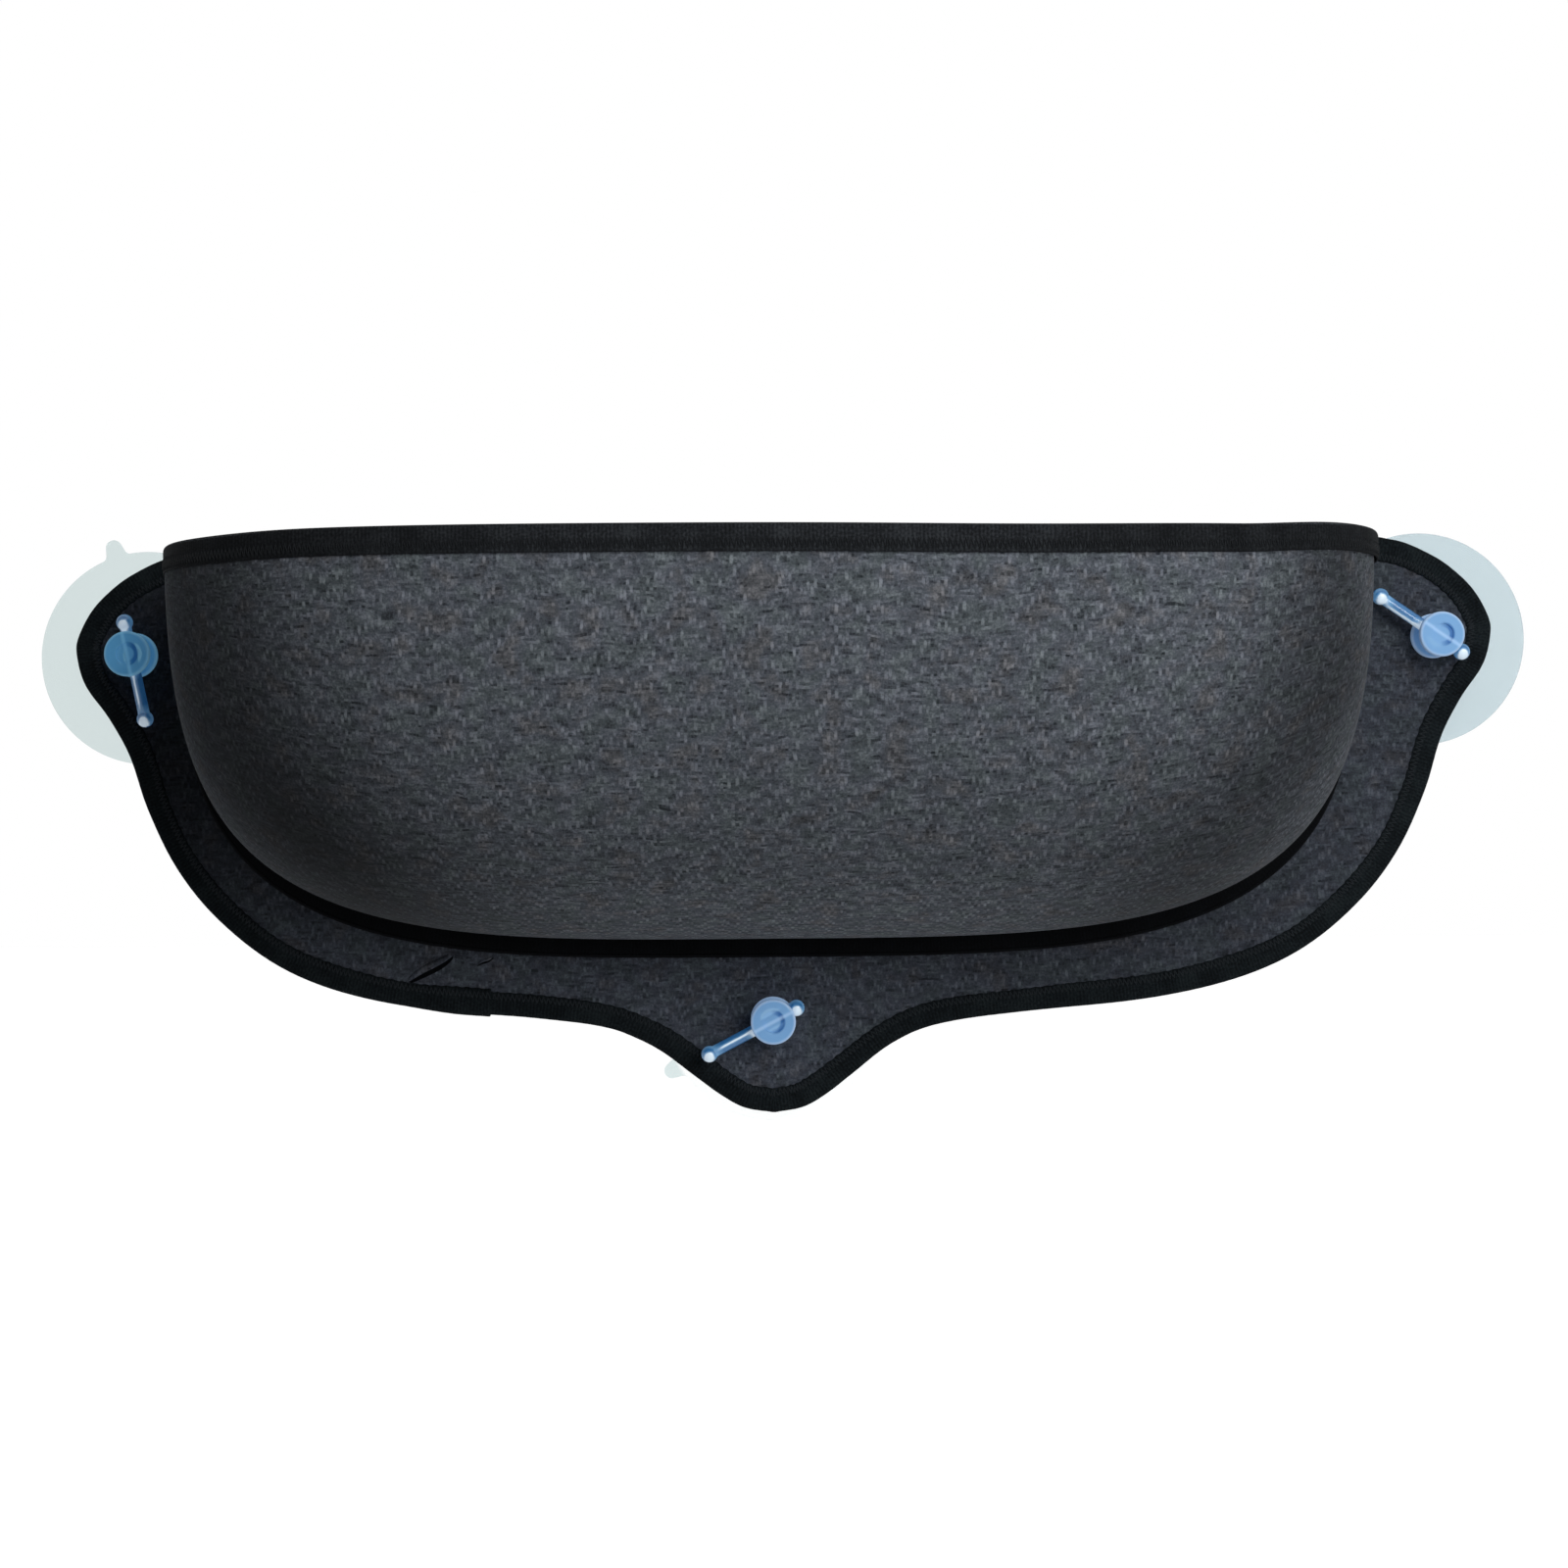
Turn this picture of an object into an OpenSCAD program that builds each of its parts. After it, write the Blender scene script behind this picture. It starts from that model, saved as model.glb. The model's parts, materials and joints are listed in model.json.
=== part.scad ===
// Window mounted cat perch. A moulded half-bowl pod is sewn by its flange to a backing
// panel, and three suction cups, locked by cross pins, hold the panel to a window.
// The glass is the plane y = 0, the room is towards -Y and +Z is up. The origin is the
// point where the axis of the bottom suction cup meets the glass.

/* [Pod] */
// Outer width of the pod along its rim
pod_w = 540; // [480:1:600]
// Depth of the pod from the panel's face to the front of its rim
pod_depth = 189; // [150:1:220]
// Height of the pod from its base to its rim
pod_h = 177.5; // [150:0.5:220]
// Thickness of the moulded foam core
pod_core_t = 3.1; // [2:0.1:6]
// Thickness of the woven fabric on the outside of the pod
cover_t = 0.7; // [0.4:0.1:1.2]
// Thickness of the woven fabric on the inside of the pod
lining_t = 0.7; // [0.4:0.1:1.2]
// Width of the flange that is sewn to the panel
flange_w = 8.8; // [6:0.1:11]

/* [Backing panel] */
// Thickness of the stiff board inside the panel
board_t = 4.4; // [3:0.1:8]
// Thickness of each fabric face of the panel
face_t = 0.75; // [0.4:0.05:1.2]
// How far each ear reaches past the axis of its suction cup
ear_reach = 27.8; // [25:0.1:40]
// Depth of the upper cup axes below the panel's top edge
ear_drop = 47; // [42:0.5:64]
// How far the panel's top edge stands above the rim of the pod
panel_rise = 7.5; // [4:0.5:14]
// Depth of the bottom cup axis below the base of the pod
nose_drop = 39.1; // [34:0.1:50]
// How far the nose reaches below the axis of the bottom cup
nose_reach = 44; // [36:0.5:60]
// How far the panel is sewn to the right of the pod's middle
panel_shift = 9; // [0:0.5:10]
// How far the panel is turned against the pod, right ear up, in degrees
panel_tilt = 0.45; // [0:0.05:0.6]

/* [Bindings] */
// Thickness of the black binding tape
tape_t = 0.8; // [0.4:0.1:1.2]
// Width of the tape on each face of the panel
panel_tape_w = 10.6; // [7:0.1:12]
// Width of the tape down each side of the pod's rim
rim_tape_w = 11; // [7:0.5:16]

/* [Suction cups] */
// Diameter of each suction cup
cup_d = 103; // [90:1:115]
// Width of the flat lip that lies on the glass
cup_lip_w = 5; // [3:0.5:8]
// Depth of the hollow under the cup
cup_hollow = 10; // [7:0.5:11]
// Height of the cup's dome above the glass
cup_dome_h = 14; // [13:0.5:16]
// Thickness of the cup at its edge
cup_edge_t = 1.2; // [0.8:0.1:2]
// Distance from the glass to the back of the panel
panel_gap = 20; // [18:0.5:30]
// Diameter of the hub that stands on the dome
hub_d = 24; // [18:0.5:30]
// Diameter of the neck that passes through the panel
neck_d = 12; // [9:0.5:13]
// Diameter of the knob's head and of its back flange
knob_d = 21.2; // [19:0.1:25]
// Thickness of the knob's back flange
knob_flange_t = 3.4; // [2:0.1:5]
// Diameter of the knob's waist
waist_d = 13; // [11:0.5:16]
// Length of the knob's waist
waist_len = 12.4; // [11:0.1:18]
// Thickness of the knob's head
knob_head_t = 4.2; // [3:0.1:6]
// Width of the pull tab at its round end
tab_w = 7.6; // [6:0.1:10]
// Width of the pull tab where it grows out of the cup
tab_root_w = 13; // [10:0.5:16]
// How far the pull tab stands out from the cup's edge
tab_reach = 8.2; // [5:0.1:12]

/* [Cross pins] */
// Diameter of the pin's rod
rod_d = 5.5; // [4:0.1:6.5]
// Diameter of the ball on each end of the pin
ball_d = 7.8; // [7:0.1:10]
// Distance between the centres of the two balls
pin_span = 46.5; // [40:0.5:48]
// Distance from the axis of a knob to the centre of the nearer ball, when at rest
pin_short_end = 14; // [13.5:0.1:15]

/* [Hidden] */
$fn = 64;

// Thin gap between layers that are glued or sewn together
glue_gap = 0.05;
// Gap between a cup's hub or knob and the face that it bears on
seat_gap = 0.3;
// Running clearance on the radius of a shaft in its hole
run_gap = 0.1;
// Gap between the rim's tape and the curved walls inside it
rim_gap = 0.35;
// How far a cut runs past the face that it opens
overrun = 1;

// Exponents of the pod's curves: a higher one gives squarer corners
base_power = 3.8;
rim_power = 3.9;
side_power = 2.4;

// Steps of the pod's surface from end to end, and from base to rim
stations = 36;
rows = 12;

// Layers of the pod's wall, as depths below its outer surface
pod_wall = cover_t + glue_gap + pod_core_t + glue_gap + lining_t;
core_out = cover_t + glue_gap;
core_in = core_out + pod_core_t;
lining_out = core_in + glue_gap;

// The pod's half width, and its rise and reach past the flange
pod_half = pod_w / 2;
pod_reach = pod_depth - pod_wall;

// Planes of the panel, as distances from the glass
panel_t = board_t + 2 * (face_t + glue_gap);
panel_front = panel_gap + panel_t;

// Heights of the rim, the panel's top edge and the upper cups over the origin
rim_z = nose_drop + pod_h;
panel_top = rim_z + panel_rise;
panel_h = panel_top + nose_reach;
ear_cup_z = panel_top - ear_drop;

// The upper cups stand clear of the pod's sewn edge
seam_edge = flange_w + glue_gap + tape_t;
knob_clear = 18;
ear_cup_x = pod_half + seam_edge + knob_clear + knob_d / 2;
panel_half = ear_cup_x + ear_reach;

// A point of the panel, turned with it about the axis of the bottom cup
function tilted(p) = [p[0] * cos(panel_tilt) - p[1] * sin(panel_tilt),
    p[0] * sin(panel_tilt) + p[1] * cos(panel_tilt)];

// Each row is a cup: its place across and up, the way its pin's long end points and
// the way its pull tab points, as angles from +X towards +Z, and how far its pin has
// been pushed on towards the short end
left_place = concat(tilted([panel_shift - ear_cup_x, ear_cup_z]), [281.5, 107, 1.5]);
right_place = concat(tilted([panel_shift + ear_cup_x, ear_cup_z]), [145.5, 146, 0]);
bottom_place = [0, 0, 207.5, 209, -1.5];
places = [left_place, right_place, bottom_place];

// Heights along a cup's axis, from the glass
flange_base = panel_front + seat_gap;
waist_base = flange_base + knob_flange_t;
head_base = waist_base + waist_len;
knob_top = head_base + knob_head_t;
pin_height = waist_base + waist_len / 2;

// Small sizes of the cup's moulding
hub_foot_d = hub_d + 8;
tab_fillet_r = 3;
edge_round = 1.2;
dimple_d = 10;
dimple_depth = 0.8;
curve_steps = 10;

// Right half of the panel's outline below its straight top edge, as shares of the
// panel's half width and of its height from the top edge down
outline_shares = [
    [0.845, 0.000], [0.880, 0.010], [0.919, 0.033], [0.945, 0.055], [0.975, 0.092],
    [0.995, 0.136], [1.000, 0.165], [0.989, 0.223], [0.957, 0.282], [0.928, 0.350],
    [0.903, 0.447], [0.864, 0.551], [0.809, 0.640], [0.729, 0.722], [0.638, 0.773],
    [0.514, 0.807], [0.340, 0.828], [0.230, 0.848], [0.166, 0.882], [0.106, 0.938],
    [0.074, 0.968], [0.041, 0.991], [0.000, 1.000]];
outline_steps = 4;

// Shares of the panel's half width between which its shift against the pod fades out,
// because the nose stays under the middle of the pod
nose_share = 0.2;
shoulder_share = 0.4;

// Smooth curves

// Direction of a curve at one of its points, from the neighbours on both sides
function direction_at(points, i) =
    let (ahead = points[min(i + 1, len(points) - 1)], behind = points[max(i - 1, 0)])
    (ahead - behind) / norm(ahead - behind);

// Point on the piece of curve that leaves a along run_a and reaches b along run_b
function curve_point(a, b, run_a, run_b, t) =
    (2 * t ^ 3 - 3 * t ^ 2 + 1) * a + (t ^ 3 - 2 * t ^ 2 + t) * run_a
    + (3 * t ^ 2 - 2 * t ^ 3) * b + (t ^ 3 - t ^ 2) * run_b;

// Smooth curve through the points, with steps points on each stretch
function smooth(points, steps) = [
    for (i = [0 : len(points) - 2], step = [0 : steps - 1])
        let (chord = norm(points[i + 1] - points[i]))
        curve_point(points[i], points[i + 1], chord * direction_at(points, i),
            chord * direction_at(points, i + 1), step / steps)];

// Outline of the backing panel

outline_half = smooth([for (share = outline_shares)
    [share[0] * panel_half, panel_top - share[1] * panel_h]], outline_steps);

// Place on the turned panel of a point of its half outline, on the side -1 or 1
function outline_point(p, side) =
    let (share = p[0] / panel_half,
        fade = (share - nose_share) / (shoulder_share - nose_share))
    tilted([side * p[0] + panel_shift * min(1, max(0, fade)), p[1]]);

// The whole outline, clockwise as the room sees it, from the top left corner
outline = concat(
    [for (i = [len(outline_half) - 1 : -1 : 0]) outline_point(outline_half[i], -1)],
    [for (p = outline_half) outline_point(p, 1)], [tilted([0, panel_top - panel_h])]);

// The outline drawn in by a distance along its own normals
function drawn_in(points, inset) = [
    for (i = [0 : len(points) - 1])
        let (ahead = points[(i + 1) % len(points)],
            behind = points[(i + len(points) - 1) % len(points)],
            along = (ahead - behind) / norm(ahead - behind))
        points[i] + inset * [along[1], -along[0]]];

// Curves of the pod

// Height and depth of the pod at a share of its half width, as shares of the full ones
function base_share(s) = (1 - abs(s) ^ base_power) ^ (1 / base_power);
function rim_share(s) = (1 - abs(s) ^ rim_power) ^ (1 / rim_power);

// Point of the wall at a depth below its outer surface, as across, out and down from
// the middle of the rim at the panel: turn runs from end to end, lift from rim to base
function wall_point(turn, lift, depth) =
    let (s = sin(turn))
    [(pod_half - depth) * s,
        pod_wall - depth + pod_reach * rim_share(s) * cos(lift) ^ (2 / side_power),
        (pod_h - depth) * base_share(s) * sin(lift) ^ (2 / side_power)];

// Point of the pod's base outline, pushed outwards in the panel's plane
function base_point(turn, push) =
    let (s = sin(turn),
        normal = [sign(s) * abs(s) ^ (base_power - 1) / pod_half,
            base_share(s) ^ (base_power - 1) / pod_h])
    [pod_half * s, pod_h * base_share(s)] + push * normal / norm(normal);

// Point of the rim's outline in plan at a depth in the wall, pushed outwards
function plan_point(turn, depth, push) =
    let (s = sin(turn),
        normal = [sign(s) * abs(s) ^ (rim_power - 1) / pod_half,
            rim_share(s) ^ (rim_power - 1) / pod_reach])
    [(pod_half - depth) * s, pod_wall - depth + pod_reach * rim_share(s)]
        + push * normal / norm(normal);

function flange_point(turn, depth) =
    let (edge = base_point(turn, flange_w))
    [edge[0], pod_wall - depth, edge[1]];

// Places the pod's points, given as across, out from the panel and down from the rim
function in_room(p) = [p[0], -panel_front - glue_gap - p[1], rim_z - p[2]];

turns = [for (i = [0 : stations]) 180 * i / stations - 90];

// Rows lie closer together at the rim and at the base
lifts = [for (row = [0 : rows]) 45 * (1 - cos(180 * row / rows))];

// One layer of the pod: a bent sheet between two depths in its wall

// Points round the layer at one turn: flange, outside, rim, inside and flange again
ring_size = 2 * rows + 4;
function layer_ring(turn, outer, inner) = concat(
    [flange_point(turn, outer)],
    [for (row = [rows : -1 : 0]) wall_point(turn, lifts[row], outer)],
    [for (lift = lifts) wall_point(turn, lift, inner)],
    [flange_point(turn, inner)]);

// At its two ends the wall runs out, and the ring is down to four points
pole_size = 4;
function pole_ring(turn, outer, inner) = [
    flange_point(turn, outer), wall_point(turn, 0, outer),
    wall_point(turn, 0, inner), flange_point(turn, inner)];
function pole_place(k) = k == 0 ? 0 : k <= rows + 1 ? 1 : k <= 2 * rows + 2 ? 2 : 3;

function ring_place(station, k) =
    station == 0 ? pole_place(k)
    : station == stations ? pole_size + (stations - 1) * ring_size + pole_place(k)
    : pole_size + (station - 1) * ring_size + k;

function all_apart(t) = t[0] != t[1] && t[1] != t[2] && t[2] != t[0];

layer_sides = [
    for (station = [0 : stations - 1], k = [0 : ring_size - 1])
        let (next = (k + 1) % ring_size,
            a = ring_place(station, k), b = ring_place(station + 1, k),
            c = ring_place(station + 1, next), d = ring_place(station, next))
        for (triangle = [[a, b, c], [a, c, d]]) if (all_apart(triangle)) triangle];
last_ring = pole_size + (stations - 1) * ring_size;
layer_ends = [[0, 1, 2], [0, 2, 3],
    [last_ring, last_ring + 2, last_ring + 1], [last_ring, last_ring + 3, last_ring + 2]];

module pod_layer(outer, inner) {
    points = concat(
        pole_ring(turns[0], outer, inner),
        [for (i = [1 : stations - 1]) each layer_ring(turns[i], outer, inner)],
        pole_ring(turns[stations], outer, inner));
    polyhedron([for (p = points) in_room(p)], concat(layer_sides, layer_ends));
}

// Plates and rings that lie in the panel's plane

// Sheet with an outline across and up, between two distances from the glass
module sheet(points, near, far) {
    translate([0, -near, 0])
        rotate([90, 0, 0])
            linear_extrude(far - near)
                polygon(points);
}

module panel_sheet(near, far) {
    difference() {
        sheet(outline, near, far);
        for (place = places)
            translate([place[0], -near + overrun, place[1]])
                rotate([90, 0, 0])
                    cylinder(d = neck_d + 2 * run_gap, h = far - near + 2 * overrun);
    }
}

// Strip along the pod's base, between two distances outside its outline
function base_strip(inner, outer) = [
    for (p = concat([for (turn = turns) base_point(turn, outer)],
        [for (i = [stations : -1 : 0]) base_point(turns[i], inner)]))
        [p[0], rim_z - p[1]]];

// The ground that the pod's sewn edge covers, with a gap round it
sewn_ground = [for (turn = turns)
    let (p = base_point(turn, seam_edge + seat_gap)) [p[0], rim_z - p[1]]];

// Sub-parts of the backing panel

module panel_core() {
    color([0.10, 0.10, 0.11])
        panel_sheet(panel_gap + face_t + glue_gap, panel_front - face_t - glue_gap);
}

module panel_face_fabric() {
    color([0.19, 0.20, 0.23])
        panel_sheet(panel_front - face_t, panel_front);
}

module panel_back_fabric() {
    color([0.19, 0.20, 0.23])
        panel_sheet(panel_gap, panel_gap + face_t);
}

// Tape folded round the panel's edge, cut away where the pod's flange covers it
module panel_binding() {
    near = panel_gap - glue_gap - tape_t;
    far = panel_front + glue_gap + tape_t;
    color([0.05, 0.06, 0.07])
        difference() {
            sheet(drawn_in(outline, -glue_gap - tape_t), near, far);
            sheet(drawn_in(outline, -glue_gap), panel_gap - glue_gap, panel_front + glue_gap);
            sheet(drawn_in(outline, panel_tape_w), near - overrun, far + overrun);
            sheet(sewn_ground, panel_front, far + overrun);
        }
}

// Sub-parts of the pod

module pod_core() {
    color([0.12, 0.12, 0.13])
        pod_layer(core_out, core_in);
}

module pod_cover() {
    color([0.27, 0.28, 0.31])
        pod_layer(0, cover_t);
}

module pod_lining() {
    color([0.25, 0.26, 0.29])
        pod_layer(lining_out, pod_wall);
}

// Plan of the rim's wall, grown by a distance on both faces
function rim_plan(grow) = [
    for (p = concat([for (turn = turns) plan_point(turn, 0, grow)],
        [for (i = [stations : -1 : 0]) plan_point(turns[i], pod_wall, -grow)]))
        [p[0], -panel_front - glue_gap - p[1]]];

// Tape folded over the pod's rim, which stops short of the tape along its seam
module rim_binding() {
    low = rim_z - rim_tape_w;
    seam_top = panel_front + pod_wall + tape_t + 2 * glue_gap;
    color([0.13, 0.13, 0.14])
        difference() {
            translate([0, 0, low])
                linear_extrude(rim_tape_w + glue_gap + tape_t)
                    polygon(rim_plan(rim_gap + tape_t));
            translate([0, 0, low - overrun])
                linear_extrude(rim_tape_w + overrun + glue_gap)
                    polygon(rim_plan(rim_gap));
            translate([-pod_w, -seam_top - seat_gap, low - overrun])
                cube([2 * pod_w, seam_top, rim_tape_w + 2 * overrun + tape_t]);
        }
}

// Tape over the flange: a flat strip in front and a narrow fold round the edge
module seam_binding() {
    back = panel_front + glue_gap;
    under = back + pod_wall + glue_gap;
    inner_edge = seat_gap;
    color([0.02, 0.02, 0.03])
        difference() {
            sheet(base_strip(inner_edge, seam_edge), back, under + tape_t);
            sheet(base_strip(inner_edge - overrun, flange_w + glue_gap),
                back - overrun, under);
        }
}

// Suction cups

// Height of a spherical cap over its chord, at a radius from its axis
function cap_height(r, chord_r, rise) =
    let (ball = (chord_r ^ 2 + rise ^ 2) / (2 * rise))
    sqrt(ball ^ 2 - r ^ 2) - (ball - rise);

// Quarter round between two directions about a centre
function round_corner(centre, r, from, to) = [
    for (i = [0 : curve_steps])
        let (turn = from + (to - from) * i / curve_steps)
        centre + r * [cos(turn), sin(turn)]];

// Half section of a cup from its hollow to its knob, as radius and height off the glass
cup_r = cup_d / 2;
hollow_r = cup_r - cup_lip_w;
knob_r = knob_d / 2;
dimple_r = dimple_d / 2;
hub_foot_z = cup_edge_t + cap_height(hub_foot_d / 2, cup_r, cup_dome_h - cup_edge_t);
cup_section = concat(
    [for (i = [0 : curve_steps])
        let (r = hollow_r * i / curve_steps)
        [r, i < curve_steps ? cap_height(r, hollow_r, cup_hollow) : 0]],
    [[cup_r, 0], [cup_r, cup_edge_t]],
    [for (i = [1 : curve_steps])
        let (r = cup_r + (hub_foot_d / 2 - cup_r) * i / curve_steps)
        [r, cup_edge_t + cap_height(r, cup_r, cup_dome_h - cup_edge_t)]],
    [[hub_d / 2, (hub_foot_z + panel_gap) / 2],
        [hub_d / 2, panel_gap - seat_gap], [neck_d / 2, panel_gap - seat_gap],
        [neck_d / 2, flange_base]],
    round_corner([knob_r - edge_round, flange_base + edge_round], edge_round, -90, 0),
    round_corner([knob_r - edge_round, waist_base - edge_round], edge_round, 0, 90),
    [[waist_d / 2, waist_base], [waist_d / 2, head_base]],
    round_corner([knob_r - edge_round, head_base + edge_round], edge_round, -90, 0),
    round_corner([knob_r - edge_round, knob_top - edge_round], edge_round, 0, 90),
    [[dimple_r, knob_top], [dimple_r, knob_top - dimple_depth],
        [0, knob_top - dimple_depth]]);

// One moulding of clear soft plastic: cup, hub, neck and knob, with the bore for its pin
module cup(place) {
    color([0.72, 0.82, 0.90, 0.6])
        translate([place[0], 0, place[1]])
            rotate([90, 0, 0])
                difference() {
                    union() {
                        rotate_extrude($fn = 96)
                            polygon(cup_section);
                        rotate([0, 0, place[3]])
                            pull_tab();
                    }
                    rotate([0, 0, place[2]])
                        translate([-knob_r, 0, pin_height])
                            rotate([0, 90, 0])
                                cylinder(d = rod_d + 2 * run_gap, h = knob_d);
                }
}

// Flat tab that narrows to a round end, as thick as the cup's edge, which its flanks
// meet in fillets
module pull_tab() {
    root = hollow_r + cup_lip_w / 2;
    linear_extrude(cup_edge_t)
        intersection() {
            offset(r = -tab_fillet_r)
                offset(delta = tab_fillet_r) {
                    circle(cup_r - glue_gap, $fn = 96);
                    hull() {
                        translate([cup_r + tab_reach - tab_w / 2, 0])
                            circle(d = tab_w);
                        translate([cup_r - tab_root_w / 2, 0])
                            circle(d = tab_root_w);
                    }
                }
            translate([root, -tab_root_w])
                square([cup_lip_w + tab_reach, 2 * tab_root_w]);
        }
}

// Cross pin with a ball on each end, pushed through the knob's waist
module cross_pin(place) {
    color([0.45, 0.62, 0.80, 0.7])
        translate([place[0], -pin_height, place[1]])
            rotate([0, -place[2], 0])
                rotate([0, 90, 0])
                    translate([0, 0, -pin_short_end - place[4]]) {
                        cylinder(d = rod_d, h = pin_span);
                        sphere(d = ball_d);
                        translate([0, 0, pin_span])
                            sphere(d = ball_d);
                    }
}

module left_cup() cup(left_place);
module right_cup() cup(right_place);
module bottom_cup() cup(bottom_place);
module left_pin() cross_pin(left_place);
module right_pin() cross_pin(right_place);
module bottom_pin() cross_pin(bottom_place);

panel_core();
panel_face_fabric();
panel_back_fabric();
panel_binding();
pod_core();
pod_cover();
pod_lining();
rim_binding();
seam_binding();
left_cup();
right_cup();
bottom_cup();
left_pin();
right_pin();
bottom_pin();
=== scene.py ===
# Window mounted cat perch: a moulded half-bowl pod sewn to a bound backing panel, which
# three clear suction cups with locking cross pins hold to a pane of glass.
import json

import bmesh
import bpy
import numpy as np
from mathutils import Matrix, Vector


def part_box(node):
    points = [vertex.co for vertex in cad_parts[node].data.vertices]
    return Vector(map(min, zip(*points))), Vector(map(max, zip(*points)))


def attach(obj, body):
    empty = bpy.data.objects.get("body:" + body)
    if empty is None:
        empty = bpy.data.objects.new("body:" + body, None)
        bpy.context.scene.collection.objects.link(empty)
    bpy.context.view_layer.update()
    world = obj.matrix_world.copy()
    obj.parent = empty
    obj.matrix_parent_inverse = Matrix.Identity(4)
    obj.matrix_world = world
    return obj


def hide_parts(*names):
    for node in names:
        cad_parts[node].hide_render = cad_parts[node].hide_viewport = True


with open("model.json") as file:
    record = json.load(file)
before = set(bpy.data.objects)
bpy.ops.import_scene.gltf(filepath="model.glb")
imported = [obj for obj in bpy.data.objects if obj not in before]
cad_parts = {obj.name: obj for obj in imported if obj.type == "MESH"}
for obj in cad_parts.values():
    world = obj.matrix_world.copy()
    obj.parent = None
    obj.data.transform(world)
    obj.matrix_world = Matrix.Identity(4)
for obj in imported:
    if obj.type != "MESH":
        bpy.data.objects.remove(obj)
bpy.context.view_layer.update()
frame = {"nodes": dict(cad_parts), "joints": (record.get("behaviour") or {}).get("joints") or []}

# Camera
# Level with the middle of the perch and about 1.2 m in front of it, a hair left of the
# centre and turned back towards it, with a lens a little longer than a standard one.
MM = 1000.0
CAMERA_PLACE = (-8.95, -1261.3, 111.5)
CAMERA_TURN = 0.70
CAMERA_ROLL = 0.45
FRAME_PX = 1600
FOCAL_PX = 2649
SENSOR_MM = 36


def camera_axes(turn, roll):
    """Right, up and forward of a level camera turned clockwise about the vertical by turn
    and rolled clockwise about its own axis by roll, both in degrees."""
    turn, roll = np.radians(turn), np.radians(roll)
    forward = np.array([np.sin(turn), np.cos(turn), 0.0])
    level = np.array([np.cos(turn), -np.sin(turn), 0.0])
    upright = np.array([0.0, 0.0, 1.0])
    right = np.cos(roll) * level - np.sin(roll) * upright
    up = np.sin(roll) * level + np.cos(roll) * upright
    return right, up, forward


def stand(thing, right, up, back, place):
    """Puts a camera or a lamp at a place in mm, with its three axes along the given ways."""
    bpy.context.scene.collection.objects.link(thing)
    pose = np.eye(4)
    pose[:3] = np.stack([right, up, back, np.array(place) / MM], axis=1)
    thing.matrix_world = pose.T.tolist()


camera = bpy.data.objects.new("camera", bpy.data.cameras.new("camera"))
camera.data.sensor_fit = "HORIZONTAL"
camera.data.sensor_width = SENSOR_MM
camera.data.lens = SENSOR_MM * FOCAL_PX / FRAME_PX
right, up, forward = camera_axes(CAMERA_TURN, CAMERA_ROLL)
stand(camera, right, up, -forward, CAMERA_PLACE)
bpy.context.scene.camera = camera

# Face and back of the backing panel
# Linen-look polyester, plain woven from mottled dark yarns, laid over both sides of a
# stiff board. It lies flat and is pulled a little tighter under the binding all round.
FACE_T = 0.75
FACE_STEP = 3.0
FACE_PUFF = 0.22
PUFF_WAVE = 90
EDGE_FADE, CUP_FADE = 25, 18
OUTLINE_POINTS = 1440
BINDING_START = (-133.0, 1.0)
HOLE_CLEAR = 9
NECK_HOLE_D = 12.4
PUNCH_H = 60
WARP_PITCH, WEFT_PITCH, DARK_WEFT_PITCH = 1.5, 1.1, 1.3
WARP_SLUB, WEFT_SLUB, DARK_WEFT_RUN = 5.0, 9.0, 34.0
FLOAT_LENGTH = 4.4
YARN_DRIFT = (3.0, 5.0, 0.0)
YARN_STEP = 3.7
WARP_LIGHTER = 0.055
WARP_ON_TOP = (-0.35, 0.55)
DARK_LINES = (0.29, 0.24, 0.0, 0.14)
PANEL_GREYS = ("#24272C", "#3F434B", "#5E636C")
DYE_TINTS = ("#FFF8F2", "#FAFBFF", "#F7FDF8")
# The left ear's fade is painted shade, where the pod's shadow falls.
LEFT_EAR_PAINTED_SHADE, RIGHT_SIDE_FADE = (-225.0, -285.0, 0.5), (20.0, 110.0, 0.80)


def by_side(kind, value):
    """Value of each joint of one type, by the side that its cup is on."""
    return {joint["name"].split("_")[0]: np.array(joint[value], float)
            for joint in frame["joints"] if joint["type"] == kind}


axes = {side: place * MM for side, place in by_side("hinge", "pos_m").items()}
face_low, face_high = np.array(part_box("panel_face_fabric")) * MM
panel_front = -face_low[1]
panel_back = -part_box("panel_back_fabric")[1][1] * MM


def colour(hex_code):
    """Linear colour with full alpha of an sRGB hex code."""
    channels = np.array([int(hex_code[i:i + 2], 16) for i in (1, 3, 5)]) / 255
    linear = np.where(channels <= 0.04045, channels / 12.92, ((channels + 0.055) / 1.055) ** 2.4)
    return (*linear, 1.0)


def new_material(name, **surface):
    """A material with a Principled surface, whose sockets take the given constants."""
    material = bpy.data.materials.new(name)
    material.use_nodes = True
    shader = material.node_tree.nodes["Principled BSDF"]
    for socket, value in surface.items():
        shader.inputs[socket.replace("_", " ")].default_value = value
    return material, material.node_tree, shader


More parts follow.
